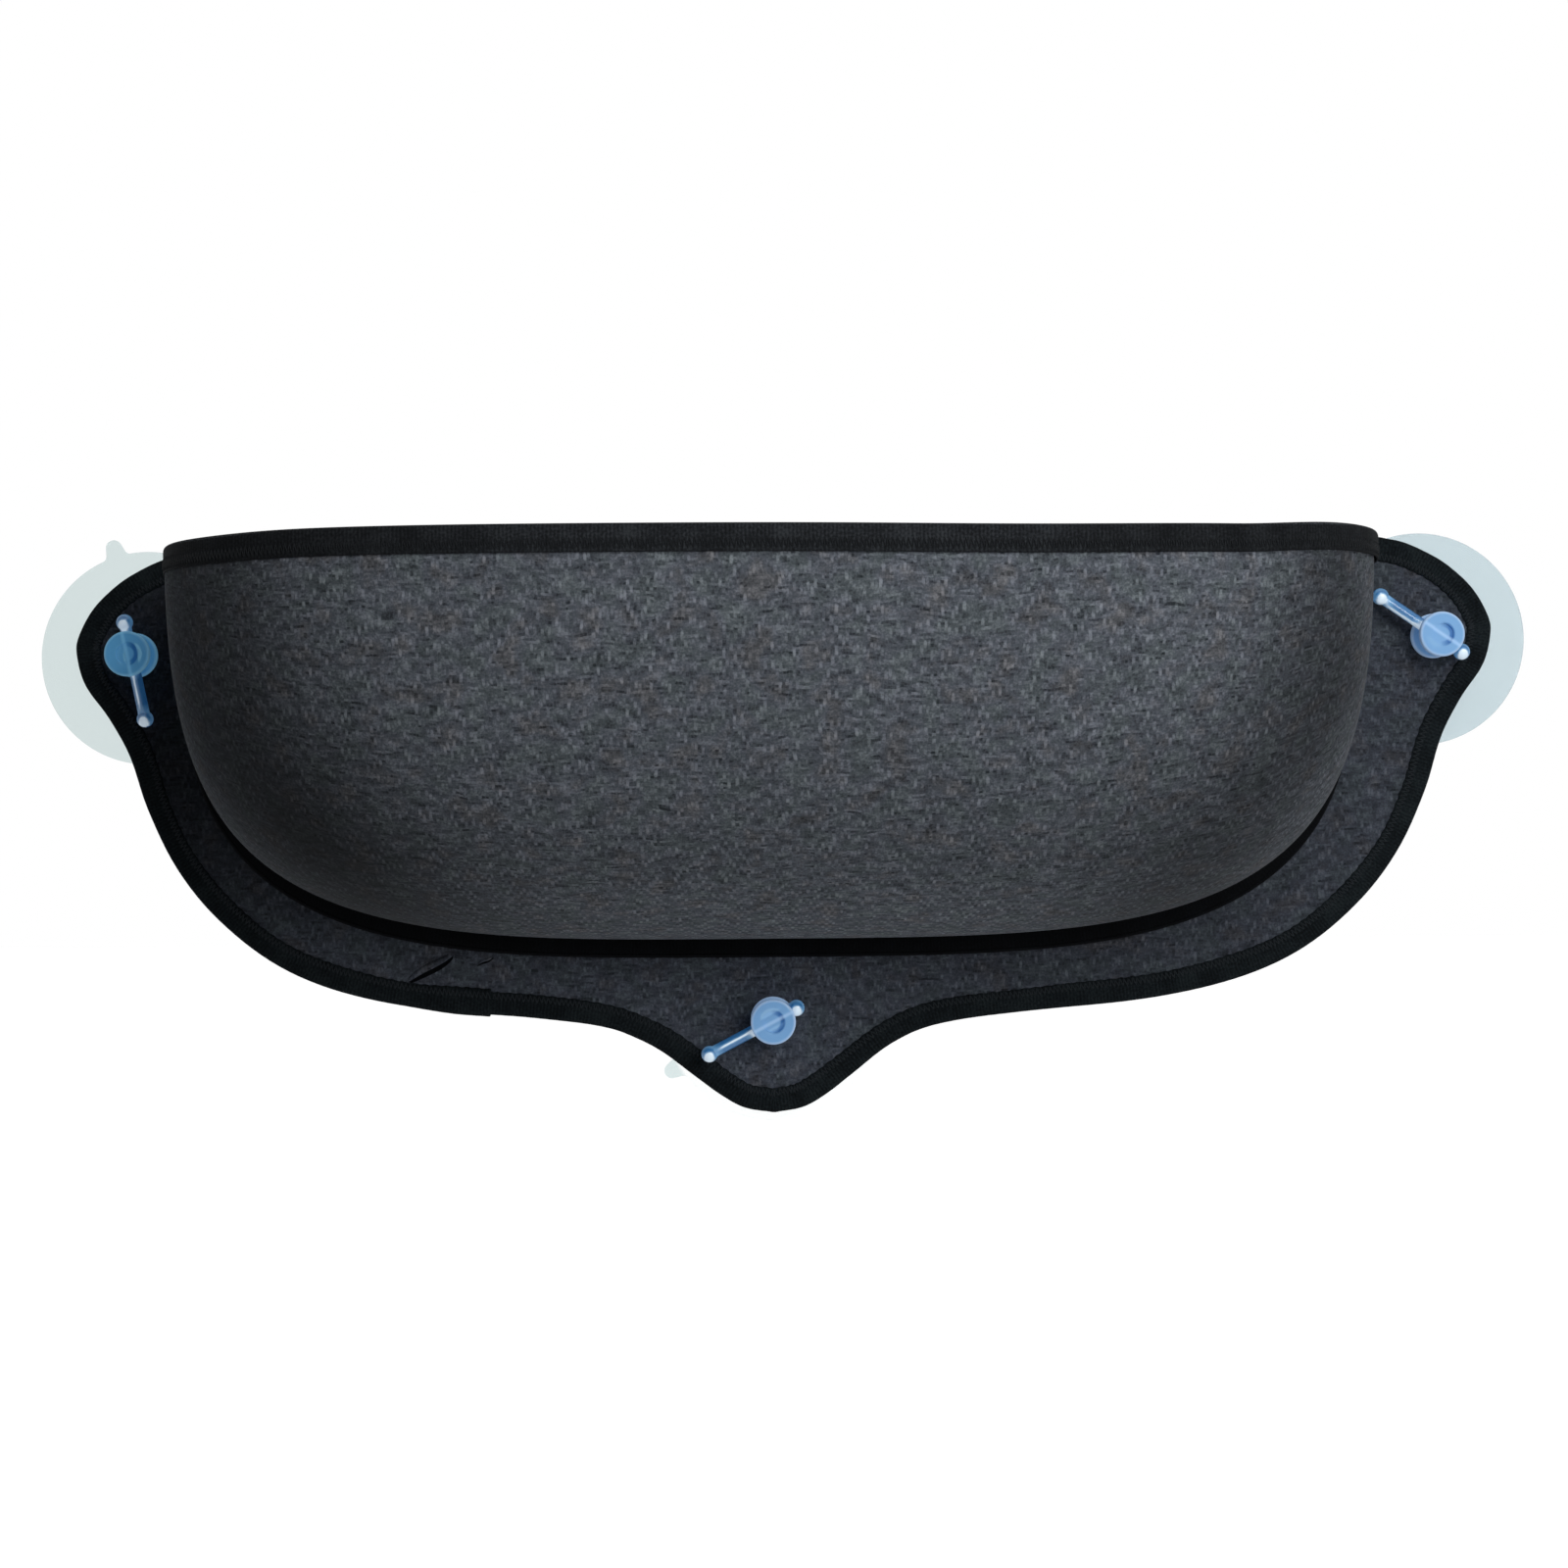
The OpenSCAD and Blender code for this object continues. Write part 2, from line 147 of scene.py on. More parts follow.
def add(tree, kind, inputs=(), out=0, stops=(), **settings):
    """Adds a node with its settings, such as an operation named after its kind, and with
    a ramp's stops. Each input gets a value or a link to an output. Gives back the output
    that is asked for, or the node itself where that is None."""
    kind, _, operation = kind.partition(" ")
    node = tree.nodes.new("ShaderNode" + kind)
    if operation:
        node.operation = operation
    for name, value in settings.items():
        setattr(node, name, value)
    for key, value in inputs.items() if isinstance(inputs, dict) else enumerate(inputs):
        if isinstance(value, bpy.types.NodeSocket):
            tree.links.new(value, node.inputs[key])
        else:
            node.inputs[key].default_value = value
    for number, (place, hex_code) in enumerate(stops):
        elements = node.color_ramp.elements
        element = elements[number] if number < 2 else elements.new(place)
        element.position, element.color = place, colour(hex_code)
    return node if out is None else node.outputs[out]


def link(tree, node, **outputs):
    """Links outputs to the sockets of a node by their names."""
    for socket, output in outputs.items():
        tree.links.new(output, node.inputs[socket.replace("_", " ")])


def chain(tree, operation, outputs):
    """Outputs joined one after the other, as in a sum or a product."""
    joined, *others = outputs
    for other in others:
        joined = add(tree, "Math " + operation, (joined, other))
    return joined


def weighed(tree, *terms):
    """Sum of outputs, each times its share."""
    return chain(tree, "ADD", [add(tree, "Math MULTIPLY", term) for term in terms])


def share_kept(tree, place, fades):
    """Part of its tone that a cloth keeps at a place: each fade takes it from 1 at its
    start to its own share at its stop."""
    return chain(tree, "MULTIPLY", [add(tree, "MapRange", (place, start, stop, 1.0, kept))
                                    for start, stop, kept in fades])


def mottled_weave(name, greys, share_of):
    """Linen-look weave on the cloth's own coordinates in mm. Upright warp yarns lie a pitch
    apart; each shows in floats, one float length high, that alternate with wefts of the same
    height and start at a height of their own, so the cloth is full of upright dashes. Every
    yarn has its own grey, which changes along it in slubs, and a few wefts are dark for a few
    centimetres. The real yarns lie 0.5 mm apart; they are drawn coarser so that they show.
    Share_of gives the part of its grey that the cloth keeps at a place, and with it painted light
    and shade."""
    material, tree, shader = new_material(name, Roughness=0.95, Sheen_Weight=0.02,
                                          Sheen_Roughness=0.5, Specular_IOR_Level=0.08)
    cloth = add(tree, "UVMap", uv_map="cloth")
    drift = add(tree, "TexNoise", {"Vector": cloth, "Scale": 0.06, "Detail": 1.0}, "Color")
    bent = add(tree, "VectorMath MULTIPLY", (drift, YARN_DRIFT))
    bent = add(tree, "VectorMath ADD", (bent, cloth))
    across, along = add(tree, "SeparateXYZ", (bent,), None).outputs[:2]

    def yarn(crossing, pitch, running, slub, seed):
        """Grey of each yarn: one value for its place, changing slub by slub along it."""
        number = add(tree, "Math FLOOR", (add(tree, "Math DIVIDE", (crossing, pitch)),))
        vector = add(tree, "CombineXYZ", (add(tree, "Math MULTIPLY", (number, YARN_STEP)),
                                          add(tree, "Math DIVIDE", (running, slub)), seed))
        return add(tree, "TexNoise", {"Vector": vector, "Scale": 1.0, "Detail": 2.0,
                                      "Roughness": 0.6})

    def back(crossing, pitch):
        """Round back of the yarns, which changes its sign from each to the next."""
        return add(tree, "Math SINE", (add(tree, "Math MULTIPLY", (crossing, np.pi / pitch)),))

    warp = yarn(across, WARP_PITCH, along, WARP_SLUB, 0.0)
    weft = yarn(along, WEFT_PITCH, across, WEFT_SLUB, 40.0)
    dark_weft = yarn(along, DARK_WEFT_PITCH, across, DARK_WEFT_RUN, 80.0)
    column = add(tree, "Math FLOOR", (add(tree, "Math DIVIDE", (across, WARP_PITCH)),))
    phase = add(tree, "TexWhiteNoise", {"W": column}, "Value", noise_dimensions="1D")
    phase = add(tree, "Math MULTIPLY", (phase, 2 * FLOAT_LENGTH))
    columns = add(tree, "Math ABSOLUTE", (back(across, WARP_PITCH),))
    floats = back(add(tree, "Math ADD", (along, phase)), FLOAT_LENGTH)
    floats = add(tree, "Math MULTIPLY", (floats, columns))
    on_top = add(tree, "MapRange", (floats, *WARP_ON_TOP))
    tone = add(tree, "Mix", {0: on_top, 2: add(tree, "Math SUBTRACT", (weft, WARP_LIGHTER)),
                             3: add(tree, "Math ADD", (warp, WARP_LIGHTER))}, data_type="FLOAT")
    line = add(tree, "MapRange", (dark_weft, *DARK_LINES))
    fibres = add(tree, "TexNoise", {"Vector": cloth, "Scale": 1.1, "Detail": 2.0})
    patches = add(tree, "TexNoise", {"Vector": cloth, "Scale": 0.10, "Detail": 3.0})
    mottle = weighed(tree, (fibres, 0.25), (patches, 0.13), (tone, 0.62))
    mottle = add(tree, "Math SUBTRACT", (mottle, line))
    grey = add(tree, "ValToRGB", (mottle,), stops=zip((0.34, 0.50, 0.68), greys))
    dye = add(tree, "TexNoise", {"Vector": cloth, "Scale": 0.07, "Detail": 3.0})
    tint = add(tree, "ValToRGB", (dye,), stops=zip((0.34, 0.47, 0.62), DYE_TINTS))
    grey = add(tree, "Mix", {0: 1.0, 6: grey, 7: tint}, 2, data_type="RGBA",
               blend_type="MULTIPLY")
    grey = add(tree, "VectorMath MULTIPLY", (grey, share_of(tree, across)))
    height = add(tree, "Math ADD", (add(tree, "Math MULTIPLY", (on_top, 0.6)), tone))
    bump = add(tree, "Bump", {"Strength": 0.4, "Distance": 0.2 / MM, "Height": height})
    link(tree, shader, Base_Color=grey, Normal=bump)
    return material


def build_mesh(name, points, cloth, materials, body="perch", weld=False, marks=None):
    """Piece from a grid of points in mm, whose rows are closed rings: a quad between each
    four neighbours, its open ends filled and its faces turned outwards. Cloth holds the
    grid's cloth coordinates in mm, one more to a ring than there are points. Weld merges
    points that meet, as at a pole, and marks give each face one of the materials."""
    rows, columns = points.shape[:2]
    i, j = (index.ravel() for index in np.indices((rows - 1, columns)))
    quad = ((i, j), (i + 1, j), (i + 1, j + 1), (i, j + 1))
    corners = np.stack([a * columns + b % columns for a, b in quad], axis=1)
    mesh = bpy.data.meshes.new(name)
    mesh.from_pydata((points.reshape(-1, 3) / MM).tolist(), [], corners.tolist())
    flat = np.stack([cloth[a, b] for a, b in quad], axis=1)
    mesh.uv_layers.new(name="cloth").data.foreach_set("uv", flat.astype(np.float32).ravel())
    mesh.polygons.foreach_set("use_smooth", np.ones(len(corners), bool))
    for material in materials:
        mesh.materials.append(material)
    if marks is not None:
        mesh.polygons.foreach_set("material_index", marks)
    work = bmesh.new()
    work.from_mesh(mesh)
    if weld:
        bmesh.ops.remove_doubles(work, verts=work.verts, dist=1e-6)
    bmesh.ops.holes_fill(work, edges=[e for e in work.edges if e.is_boundary])
    bmesh.ops.recalc_face_normals(work, faces=work.faces)
    work.to_mesh(mesh)
    work.free()
    piece = bpy.data.objects.new(name, mesh)
    bpy.context.scene.collection.objects.link(piece)
    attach(piece, body)
    return piece


def unit(vectors):
    """Vectors divided by their lengths."""
    return vectors / np.linalg.norm(vectors, axis=-1, keepdims=True)


def run_along(points):
    """Length of a line from its start to each of its points."""
    return np.append(0, np.cumsum(np.linalg.norm(np.diff(points, axis=0), axis=1)))


def spaced(points, count, endpoint=True):
    """Evenly spaced points on a line through the given ones, and its length."""
    length = run_along(points)
    even = np.linspace(0, length[-1], count, endpoint=endpoint)
    return np.stack([np.interp(even, length, row) for row in points.T], axis=1), length[-1]


def closed_curve(points, count):
    """Evenly spaced points on the smooth closed curve through the given ones. Each stretch
    is the cubic that leaves and reaches its ends along the chords of their neighbours."""
    ahead, behind = np.roll(points, -1, 0), np.roll(points, 1, 0)
    heading = unit(ahead - behind)
    chord = np.linalg.norm(ahead - points, axis=1, keepdims=True)
    a, b = points[:, None], ahead[:, None]
    run_a, run_b = (chord * heading)[:, None], (chord * np.roll(heading, -1, 0))[:, None]
    t = np.linspace(0, 1, 12, endpoint=False)[None, :, None]
    fine = ((2 * t**3 - 3 * t**2 + 1) * a + (t**3 - 2 * t**2 + t) * run_a
            + (3 * t**2 - 2 * t**3) * b + (t**3 - t**2) * run_b).reshape(-1, 2)
    return spaced(np.vstack([fine, fine[:1]]), count, endpoint=False)


def panel_edge():
    """Corners of the panel's outline, across and up in mm, read from the front of the
    solid face and put in order by their angle about the middle of the panel."""
    mesh = frame["nodes"]["panel_face_fabric"].data
    co = np.zeros(len(mesh.vertices) * 3, np.float32)
    mesh.vertices.foreach_get("co", co)
    co = co.reshape(-1, 3).astype(float) * MM
    co = np.unique(co[np.abs(co[:, 1] + panel_front) < 0.05][:, ::2].round(3), axis=0)
    for place in axes.values():
        co = co[np.hypot(*(co - place[::2]).T) > HOLE_CLEAR]
    co = co[np.argsort(-np.arctan2(co[:, 1] - (face_low[2] + face_high[2]) / 2, co[:, 0]))]
    return np.roll(co, -np.argmin(np.hypot(*(co - BINDING_START).T)), axis=0)


outline, outline_length = closed_curve(panel_edge(), OUTLINE_POINTS)
forth = unit(np.roll(outline, -1, 0) - np.roll(outline, 1, 0))
inward = np.stack([forth[:, 1], -forth[:, 0]], axis=1)


def ripple(x, z, length, seed):
    """Soft unevenness of hand-laid cloth from 0 to about 1: three crossing waves."""
    waves = [(1.0, 0.35, 0.0), (-0.45, 0.9, 1.7), (0.6, -0.75, 4.1)]
    total = sum(np.sin(2 * np.pi * (a * x + b * z) / length + c + seed) for a, b, c in waves)
    return 0.5 + total / 6


def flat_cloth(ring):
    """Cloth coordinates of cloth that lies flat: its places across and up."""
    return np.concatenate([ring, ring[:, :1]], axis=1)[:, :, ::2]


def cloth_face(name, front, side):
    """Sheet of cloth over one side of the board, as columns from the lower to the upper
    edge, out to its own plane and back by its thickness. Between the edges it stands off
    by a small puff with a ripple in it, and it lies down near the cups."""
    start, stop = sorted((np.argmax(outline[:, 0]), np.argmin(outline[:, 0])))
    halves = [outline[start:stop + 1], np.vstack([outline[stop:], outline[:start + 1]])]
    halves = [half[np.argsort(half[:, 0])] for half in halves]
    lower, upper = sorted(halves, key=lambda half: half[:, 1].mean())
    wide, _, high = face_high - face_low
    spread = np.sin(np.linspace(-np.pi / 2, np.pi / 2, int(wide / FACE_STEP)))
    x = lower[0, 0] + (lower[-1, 0] - lower[0, 0]) * (spread + 1) / 2
    bottom, top = np.interp(x, *lower.T), np.interp(x, *upper.T)
    share = np.linspace(0, 1, int(high / FACE_STEP))
    z = bottom[:, None] + (top - bottom)[:, None] * share
    x = np.broadcast_to(x[:, None], z.shape)
    edge = np.clip(np.minimum(share, 1 - share) * (top - bottom)[:, None] / EDGE_FADE, 0, 1)
    lift = FACE_PUFF * edge * ripple(x, z, PUFF_WAVE, side)
    for place in axes.values():
        lift = lift * (1 - np.exp(-((x - place[0]) ** 2 + (z - place[2]) ** 2) / CUP_FADE**2))
    outer = np.stack([x, -(front + side * lift), z], axis=2)
    inner = np.stack([x, np.full(z.shape, -(front - side * FACE_T)), z], axis=2)
    ring = np.concatenate([outer, inner[:, ::-1]], axis=1)[:, ::-side]
    return build_mesh(name, ring, flat_cloth(ring), [panel_cloth], weld=True)


def punch(piece, diameter, depth):
    """Cuts the round holes for the cups' necks through a piece."""
    for x, _, z in axes.values():
        bpy.ops.mesh.primitive_cylinder_add(
            vertices=48, radius=diameter / 2 / MM, depth=depth / MM,
            rotation=(np.pi / 2, 0, 0), location=(x / MM, -panel_front / MM, z / MM))
        punch_tool = bpy.context.object
        cut = piece.modifiers.new("hole", "BOOLEAN")
        cut.operation, cut.object, cut.solver = "DIFFERENCE", punch_tool, "EXACT"
        bpy.context.view_layer.objects.active = piece
        bpy.ops.object.modifier_apply(modifier=cut.name)
        bpy.data.objects.remove(punch_tool)


# The cloth is darker with painted shade on the left ear, where the pod's shadow falls, and
# a little darker right of the middle. A fade has its start and stop across the panel, and
# the share of the grey that is left.
panel_cloth = mottled_weave("linen_look_polyester_panel", PANEL_GREYS, lambda tree, across:
                            share_kept(tree, across, (LEFT_EAR_PAINTED_SHADE, RIGHT_SIDE_FADE)))
panel_face = cloth_face("panel_face", panel_front, 1)
panel_rear = cloth_face("panel_rear", panel_back, -1)
for piece, node in ((panel_face, "panel_face_fabric"), (panel_rear, "panel_back_fabric")):
    punch(piece, NECK_HOLE_D, PUNCH_H)
    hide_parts(node)

# Tuck in the face cloth
# At the lower left the face cloth was caught in a short fold when it was glued down: a
# low lip with a slit beside it, painted black as shade, which runs into the binding.
TUCKS = (("tuck_long", (-151.6, 31.4), (-173.0, 19.0), 5.4, 1.0),
         ("tuck_short", (-132.6, 30.5), (-140.4, 26.4), 2.2, 0.35))
TUCK_BOW = 0.3
SLIT_COLUMNS = (7, 12)
SLIT_SHADE_BLACKS = ("#08090B", "#0C0E11")

# The slit's near black is painted shade.
slit_material, slit_tree, slit_shader = new_material("shaded_cloth_fold", Roughness=1.0,
                                                     Specular_IOR_Level=0.0)
slit_place = add(slit_tree, "TexCoord", out="Object")
slit_fibres = add(slit_tree, "TexNoise", {"Vector": slit_place, "Scale": MM / 1.5})
slit_tone = add(slit_tree, "ValToRGB", (slit_fibres,), stops=zip((0.3, 0.7), SLIT_SHADE_BLACKS))
link(slit_tree, slit_shader, Base_Color=slit_tone)


def tuck(name, start, end, width, height):
    """Fold of cloth along a line: across it a lip rises in a half wave on the upper side
    and drops to a flat slit, and both fade out towards the two ends."""
    run, side = np.linspace(0, 1, 30), np.linspace(-1, 1, 13)
    swell = np.sin(np.pi * run)[:, None] ** 0.35
    lip = np.where(side < 0.1, np.sin(np.pi * np.clip((side + 1) / 1.3, 0, 1)) ** 0.8, 0.05)
    line = np.array(end) - start
    beside = np.array([-line[1], line[0]]) / np.hypot(*line)
    beside *= np.sign(-beside[1])
    bow = TUCK_BOW * np.sin(2 * np.pi * run)
    centre = start + run[:, None] * line + bow[:, None] * beside
    place = centre[:, None] + (width / 2 * swell * side)[:, :, None] * beside
    level = panel_front + FACE_PUFF + 0.05 + height * swell * lip
    top = np.stack([place[:, :, 0], -level, place[:, :, 1]], axis=2)
    low = top.copy()
    low[:, :, 1] = -panel_front + 0.1
    ring = np.concatenate([top, low[:, ::-1]], axis=1)
    # The slit's columns get the painted shade.
    column = np.tile(np.arange(ring.shape[1]), len(run) - 1)
    dark = ((column >= SLIT_COLUMNS[0]) & (column < SLIT_COLUMNS[1])).astype(np.int32)
    return build_mesh(name, ring, flat_cloth(ring), [panel_cloth, slit_material], marks=dark)


for sizes in TUCKS:
    tuck(*sizes)

# Board of the backing panel
# Black polypropylene sheet, cut to the outline and punched for the cups. It is closed in
# between the cloths, and shows only as a thin dark line round the punched holes.
BOARD_BLACKS = ("#141416", "#232326")

board_material, board_tree, board_shader = new_material("black_polypropylene_sheet",
                                                        Roughness=0.45)
board_place = add(board_tree, "TexCoord", out="Object")
pebble = add(board_tree, "TexNoise", {"Vector": board_place, "Scale": MM / 1.2, "Detail": 3.0})
link(board_tree, board_shader,
     Base_Color=add(board_tree, "ValToRGB", (pebble,), stops=zip((0.3, 0.7), BOARD_BLACKS)),
     Normal=add(board_tree, "Bump", {"Strength": 0.3, "Distance": 0.05 / MM, "Height": pebble}))
board = frame["nodes"]["panel_core"]
board.data.materials.clear()
board.data.materials.append(board_material)

# Binding of the backing panel
# Black polyester tape folded over the raw edges of board and cloths. One zigzag seam a
# few millimetres from its edge goes through both of its sides.
TAPE_T = 0.8
TAPE_SIDE_T = 0.7
TAPE_W = 10.6
TAPE_BEND = 2.4
TAPE_WANDER = 0.5
HEM_SCALLOP = 0.2
SCALLOP_PITCH = 5.3
LAP, LAP_RAMP = 12.0, 30.0
GLUE = 0.05
RIB_PITCH = 1.6
TAPE_BLACKS = ("#090C0E", "#12171A", "#1D2325")


def ribbed_tape(name, blacks, fades=()):
    """Woven tape on its own coordinates in mm: fine ribs run across its width, drawn
    coarser than the real half millimetre so that they show, with an uneven dye. Fades
    take its tone down at places along it."""
    material, tree, shader = new_material(name, Roughness=0.9, Specular_IOR_Level=0.06)
    cloth = add(tree, "UVMap", uv_map="cloth")
    along = add(tree, "SeparateXYZ", (cloth,))
    rib = add(tree, "Math SINE", (add(tree, "Math MULTIPLY", (along, 2 * np.pi / RIB_PITCH)),))
    speckle = add(tree, "TexNoise", {"Vector": cloth, "Scale": 0.9, "Detail": 3.0})
    slow = add(tree, "TexNoise", {"Vector": cloth, "Scale": 0.08, "Detail": 2.0})
    tone = weighed(tree, (speckle, 0.6), (slow, 0.4), (rib, 0.05))
    grey = add(tree, "ValToRGB", (tone,), stops=zip((0.38, 0.50, 0.64), blacks))
    if fades:
        grey = add(tree, "VectorMath MULTIPLY", (grey, share_kept(tree, along, fades)))
    height = add(tree, "Math ADD", (add(tree, "Math MULTIPLY", (rib, 0.5)), speckle))
    bump = add(tree, "Bump", {"Strength": 0.5, "Distance": 0.12 / MM, "Height": height})
    link(tree, shader, Base_Color=grey, Normal=bump)
    return material


def ease(value, start, stop):
    """Smooth step from 0 at the start to 1 at the stop: 3t^2 - 2t^3."""
    t = np.clip((value - start) / (stop - start), 0, 1)
    return t * t * (3 - 2 * t)


def folded_tape(width, front, back, bend):
    """Section of a tape folded round an edge: inset from the edge and height over the
    glass, from its front hem round the edge to its back hem, then back along its inner
    side, and the way out of the tape at each point. The folds are quarter rounds."""
    turn = np.linspace(np.pi / 2, 0, 7)
    fold = bend * np.stack([1 - np.cos(turn), np.sin(turn)], axis=1)
    flat = np.linspace(1, 0, 4)[:-1, None] * [width - bend, 0] + [bend, bend]
    flat[0, 0] -= 0.3
    half = np.vstack([[[width, bend - TAPE_SIDE_T], [width - 0.05, bend - 0.25]], flat, fold])
    middle, rise = (front + back) / 2, (front - back) / 2 - bend
    outside = np.vstack([half * [1, 1] + [0, middle + rise],
                         (half * [1, -1] + [0, middle - rise])[::-1]])
    heading = unit(np.gradient(outside, axis=0))
    out = np.stack([heading[:, 1], -heading[:, 0]], axis=1)
    section = np.vstack([outside, (outside - TAPE_SIDE_T * out)[::-1]])
    return section, np.vstack([out, out[::-1]])


def tape(name, points, along, across, material):
    """Tape from a grid of points. Its cloth coordinates are the run along it and the place
    across it, which has one value more for the point that closes the ring."""
    cloth = np.stack(np.broadcast_arrays(along[:, None], across[None, :]), axis=2)
    return build_mesh(name, points, cloth, [material])


edge_run = np.arange(OUTLINE_POINTS) * outline_length / OUTLINE_POINTS
hem_wander = TAPE_WANDER * (0.6 * np.sin(edge_run / 37) + 0.4 * np.sin(edge_run / 11.3 + 1))
hem_wander += HEM_SCALLOP * np.sin(2 * np.pi * edge_run / SCALLOP_PITCH + np.sin(edge_run / 23))
lap_raise = (TAPE_T + 0.1) * (1 - ease(edge_run, LAP, LAP + LAP_RAMP))
tape_top, tape_foot = panel_front + TAPE_T + GLUE, panel_back - TAPE_T - GLUE
section, section_out = folded_tape(TAPE_W + TAPE_T, tape_top, tape_foot, TAPE_BEND)
section[:, 0] -= TAPE_T + GLUE

# The tape goes round the panel and on over its start; it wanders by a fraction of a
# millimetre, and its start stands off by what the lap needs.
step = np.arange(OUTLINE_POINTS + int(LAP * OUTLINE_POINTS / outline_length))
at = step % OUTLINE_POINTS
raised = np.where(step < OUTLINE_POINTS, lap_raise[at], 0)[:, None]
inset = section[:, 0] * (1 + hem_wander[at, None] / TAPE_W) + raised * section_out[:, 0]
height = section[:, 1] + raised * section_out[:, 1]
binding_points = np.stack([outline[at, None, 0] + inset * inward[at, None, 0], -height,
                           outline[at, None, 1] + inset * inward[at, None, 1]], axis=2)
across = run_along(section)
binding = tape("binding", binding_points, run_along(outline[at]), np.append(across, across[-1]),
               ribbed_tape("black_polyester_tape", TAPE_BLACKS))
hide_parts("panel_binding")

# Zigzag seam of the panel's binding
# Black polyester thread, one stroke out and one back, pulled into the tape at each end,
# so that every stroke stands up as a small rounded bar. Its twist breaks up the light.
THREAD_D = 0.55
THREAD_SUNK = 0.15
STROKE_PITCH = 2.1
STROKE_SLANT = 0.8
ZIGZAG_W = 3.4
ZIGZAG_HEM = 0.5
THREAD_BLACKS = ("#14181B", "#24292D")


def twisted_thread(name, blacks):
    """Thread between two tones, mottled by its twist, whose plies are 0.4 mm apart."""
    material, tree, shader = new_material(name, Roughness=0.7, Specular_IOR_Level=0.1)
    place = add(tree, "TexCoord", out="Object")
    ply = add(tree, "TexNoise", {"Vector": place, "Scale": MM / 0.4, "Detail": 1.0})
    link(tree, shader,
         Base_Color=add(tree, "ValToRGB", (ply,), stops=zip((0.3, 0.7), blacks)),
         Normal=add(tree, "Bump", {"Strength": 0.3, "Distance": 0.05 / MM, "Height": ply}))
    return material


def thread_tube(name, centres, normals, material):
    """Thread with a six-sided section, carried along its centre line; the section stands
    on the normal of the cloth below it."""
    beside = unit(np.cross(unit(np.gradient(centres, axis=0)), normals))
    turn = np.linspace(0, 2 * np.pi, 6, endpoint=False)[None, :, None]
    points = (centres[:, None] + THREAD_D / 2 * (np.cos(turn) * beside[:, None]
                                                 + np.sin(turn) * normals[:, None]))
    return build_mesh(name, points, np.zeros((len(centres), 7, 2)), [material])


def zigzag(total, pitch, width):
    """Shares along the seam, places across it and lifts of a zigzag thread. Each stroke
    crosses the whole width and rises in its middle; the stroke one way takes up the
    slant's share of a pitch and the stroke back the rest."""
    pairs = int(total / pitch)
    k = np.arange(pairs * 8) / 4
    stroke, part = np.floor(k), k % 1
    back = stroke % 2
    along = (stroke - back) / 2 + np.where(back, STROKE_SLANT + part * (1 - STROKE_SLANT),
                                           part * STROKE_SLANT)
    lift = THREAD_D * (0.5 * np.sin(np.pi * part) - THREAD_SUNK)
    return along / pairs, width * np.where(back, part, 1 - part), lift


def read_at(share, *rows):
    """Rows of values at the points of a line, read at shares of the line."""
    return [np.interp(share * (len(row) - 1), np.arange(len(row)), row) for row in rows]


def seam_on_panel(height, facing):
    """Zigzag seam on one side of the binding: its centre line and the way out of the
    cloth. Height is that of the tape over the glass."""
    share, across, lift = zigzag(outline_length, STROKE_PITCH, ZIGZAG_W)
    x, z, in_x, in_z, wander, raised = read_at(share, *outline.T, *inward.T, hem_wander, lap_raise)
    inset = TAPE_W + wander - ZIGZAG_HEM - across
    centres = np.stack([x + inset * in_x, -(height + facing * (raised + lift)),
                        z + inset * in_z], axis=1)
    return centres, np.tile([0.0, -facing, 0.0], (len(centres), 1))


binding_thread = twisted_thread("black_polyester_thread", THREAD_BLACKS)
for name, height, facing in (("binding_seam_front", tape_top, 1),
                             ("binding_seam_back", tape_foot, -1)):
    seam = thread_tube(name, *seam_on_panel(height, facing), binding_thread)

# Pod
# Half bowl of EVA foam, pressed hot in one mould together with its cloth on both sides,
# so that the cloth lies on it without a wrinkle. Its flange is sewn to the panel.
POD_HALF = 270.0
POD_DEPTH = 189.0
POD_H = 177.5
RIM_Z = 216.6
POD_WALL = 4.6
CLOTH_T = 0.7
FLANGE_W = 8.8
BASE_POWER, RIM_POWER, SIDE_POWER = 3.8, 3.9, 2.4
RIM_DIPS = ((1.3, 0.42, 0.30), (0.8, -0.90, 0.12))
RIM_END_RISE = (2.6, 0.70, 0.92)
STATIONS, ROWS = 220, 72
# Painted shade round the bowl's upright corners, and painted light towards the middle of its foot.
CORNER_LIFTS = (5, 28, 48, 65)
PAINTED_CORNER_SHADE = {-1: ((58, 0.42, 11), (55, 0.64, 16), (48, 0.80, 18), (42, 0.74, 19)),
           1: ((61, 0.58, 10), (60, 0.64, 18), (46, 0.54, 16), (40, 0.50, 14))}
FOOT_PAINTED_LIGHT, FOOT_LIFTS, FOOT_TURNS = 0.35, (46, 64), (28, 50)
POD_GREYS = ("#26292D", "#4E5258", "#7A7E85")
FOAM_BLACKS = ("#1B1B1D", "#2A2A2D")
flange_back = panel_front + GLUE


def rim_wave(x):
    """Rise of the hand-sewn rim over its plane: it dips in bell curves right of the middle
    and near its left end, and comes up towards its right end."""
    s = x / POD_HALF
    rise, start, stop = RIM_END_RISE
    return rise * ease(s, start, stop) - sum(dip * np.exp(-((s - place) / spread) ** 2)
                                             for dip, place, spread in RIM_DIPS)


def superellipse(s, power):
    """Height over a place from -1 to 1 of a superellipse that is 1 high."""
    return (1 - np.abs(s) ** power) ** (1 / power)


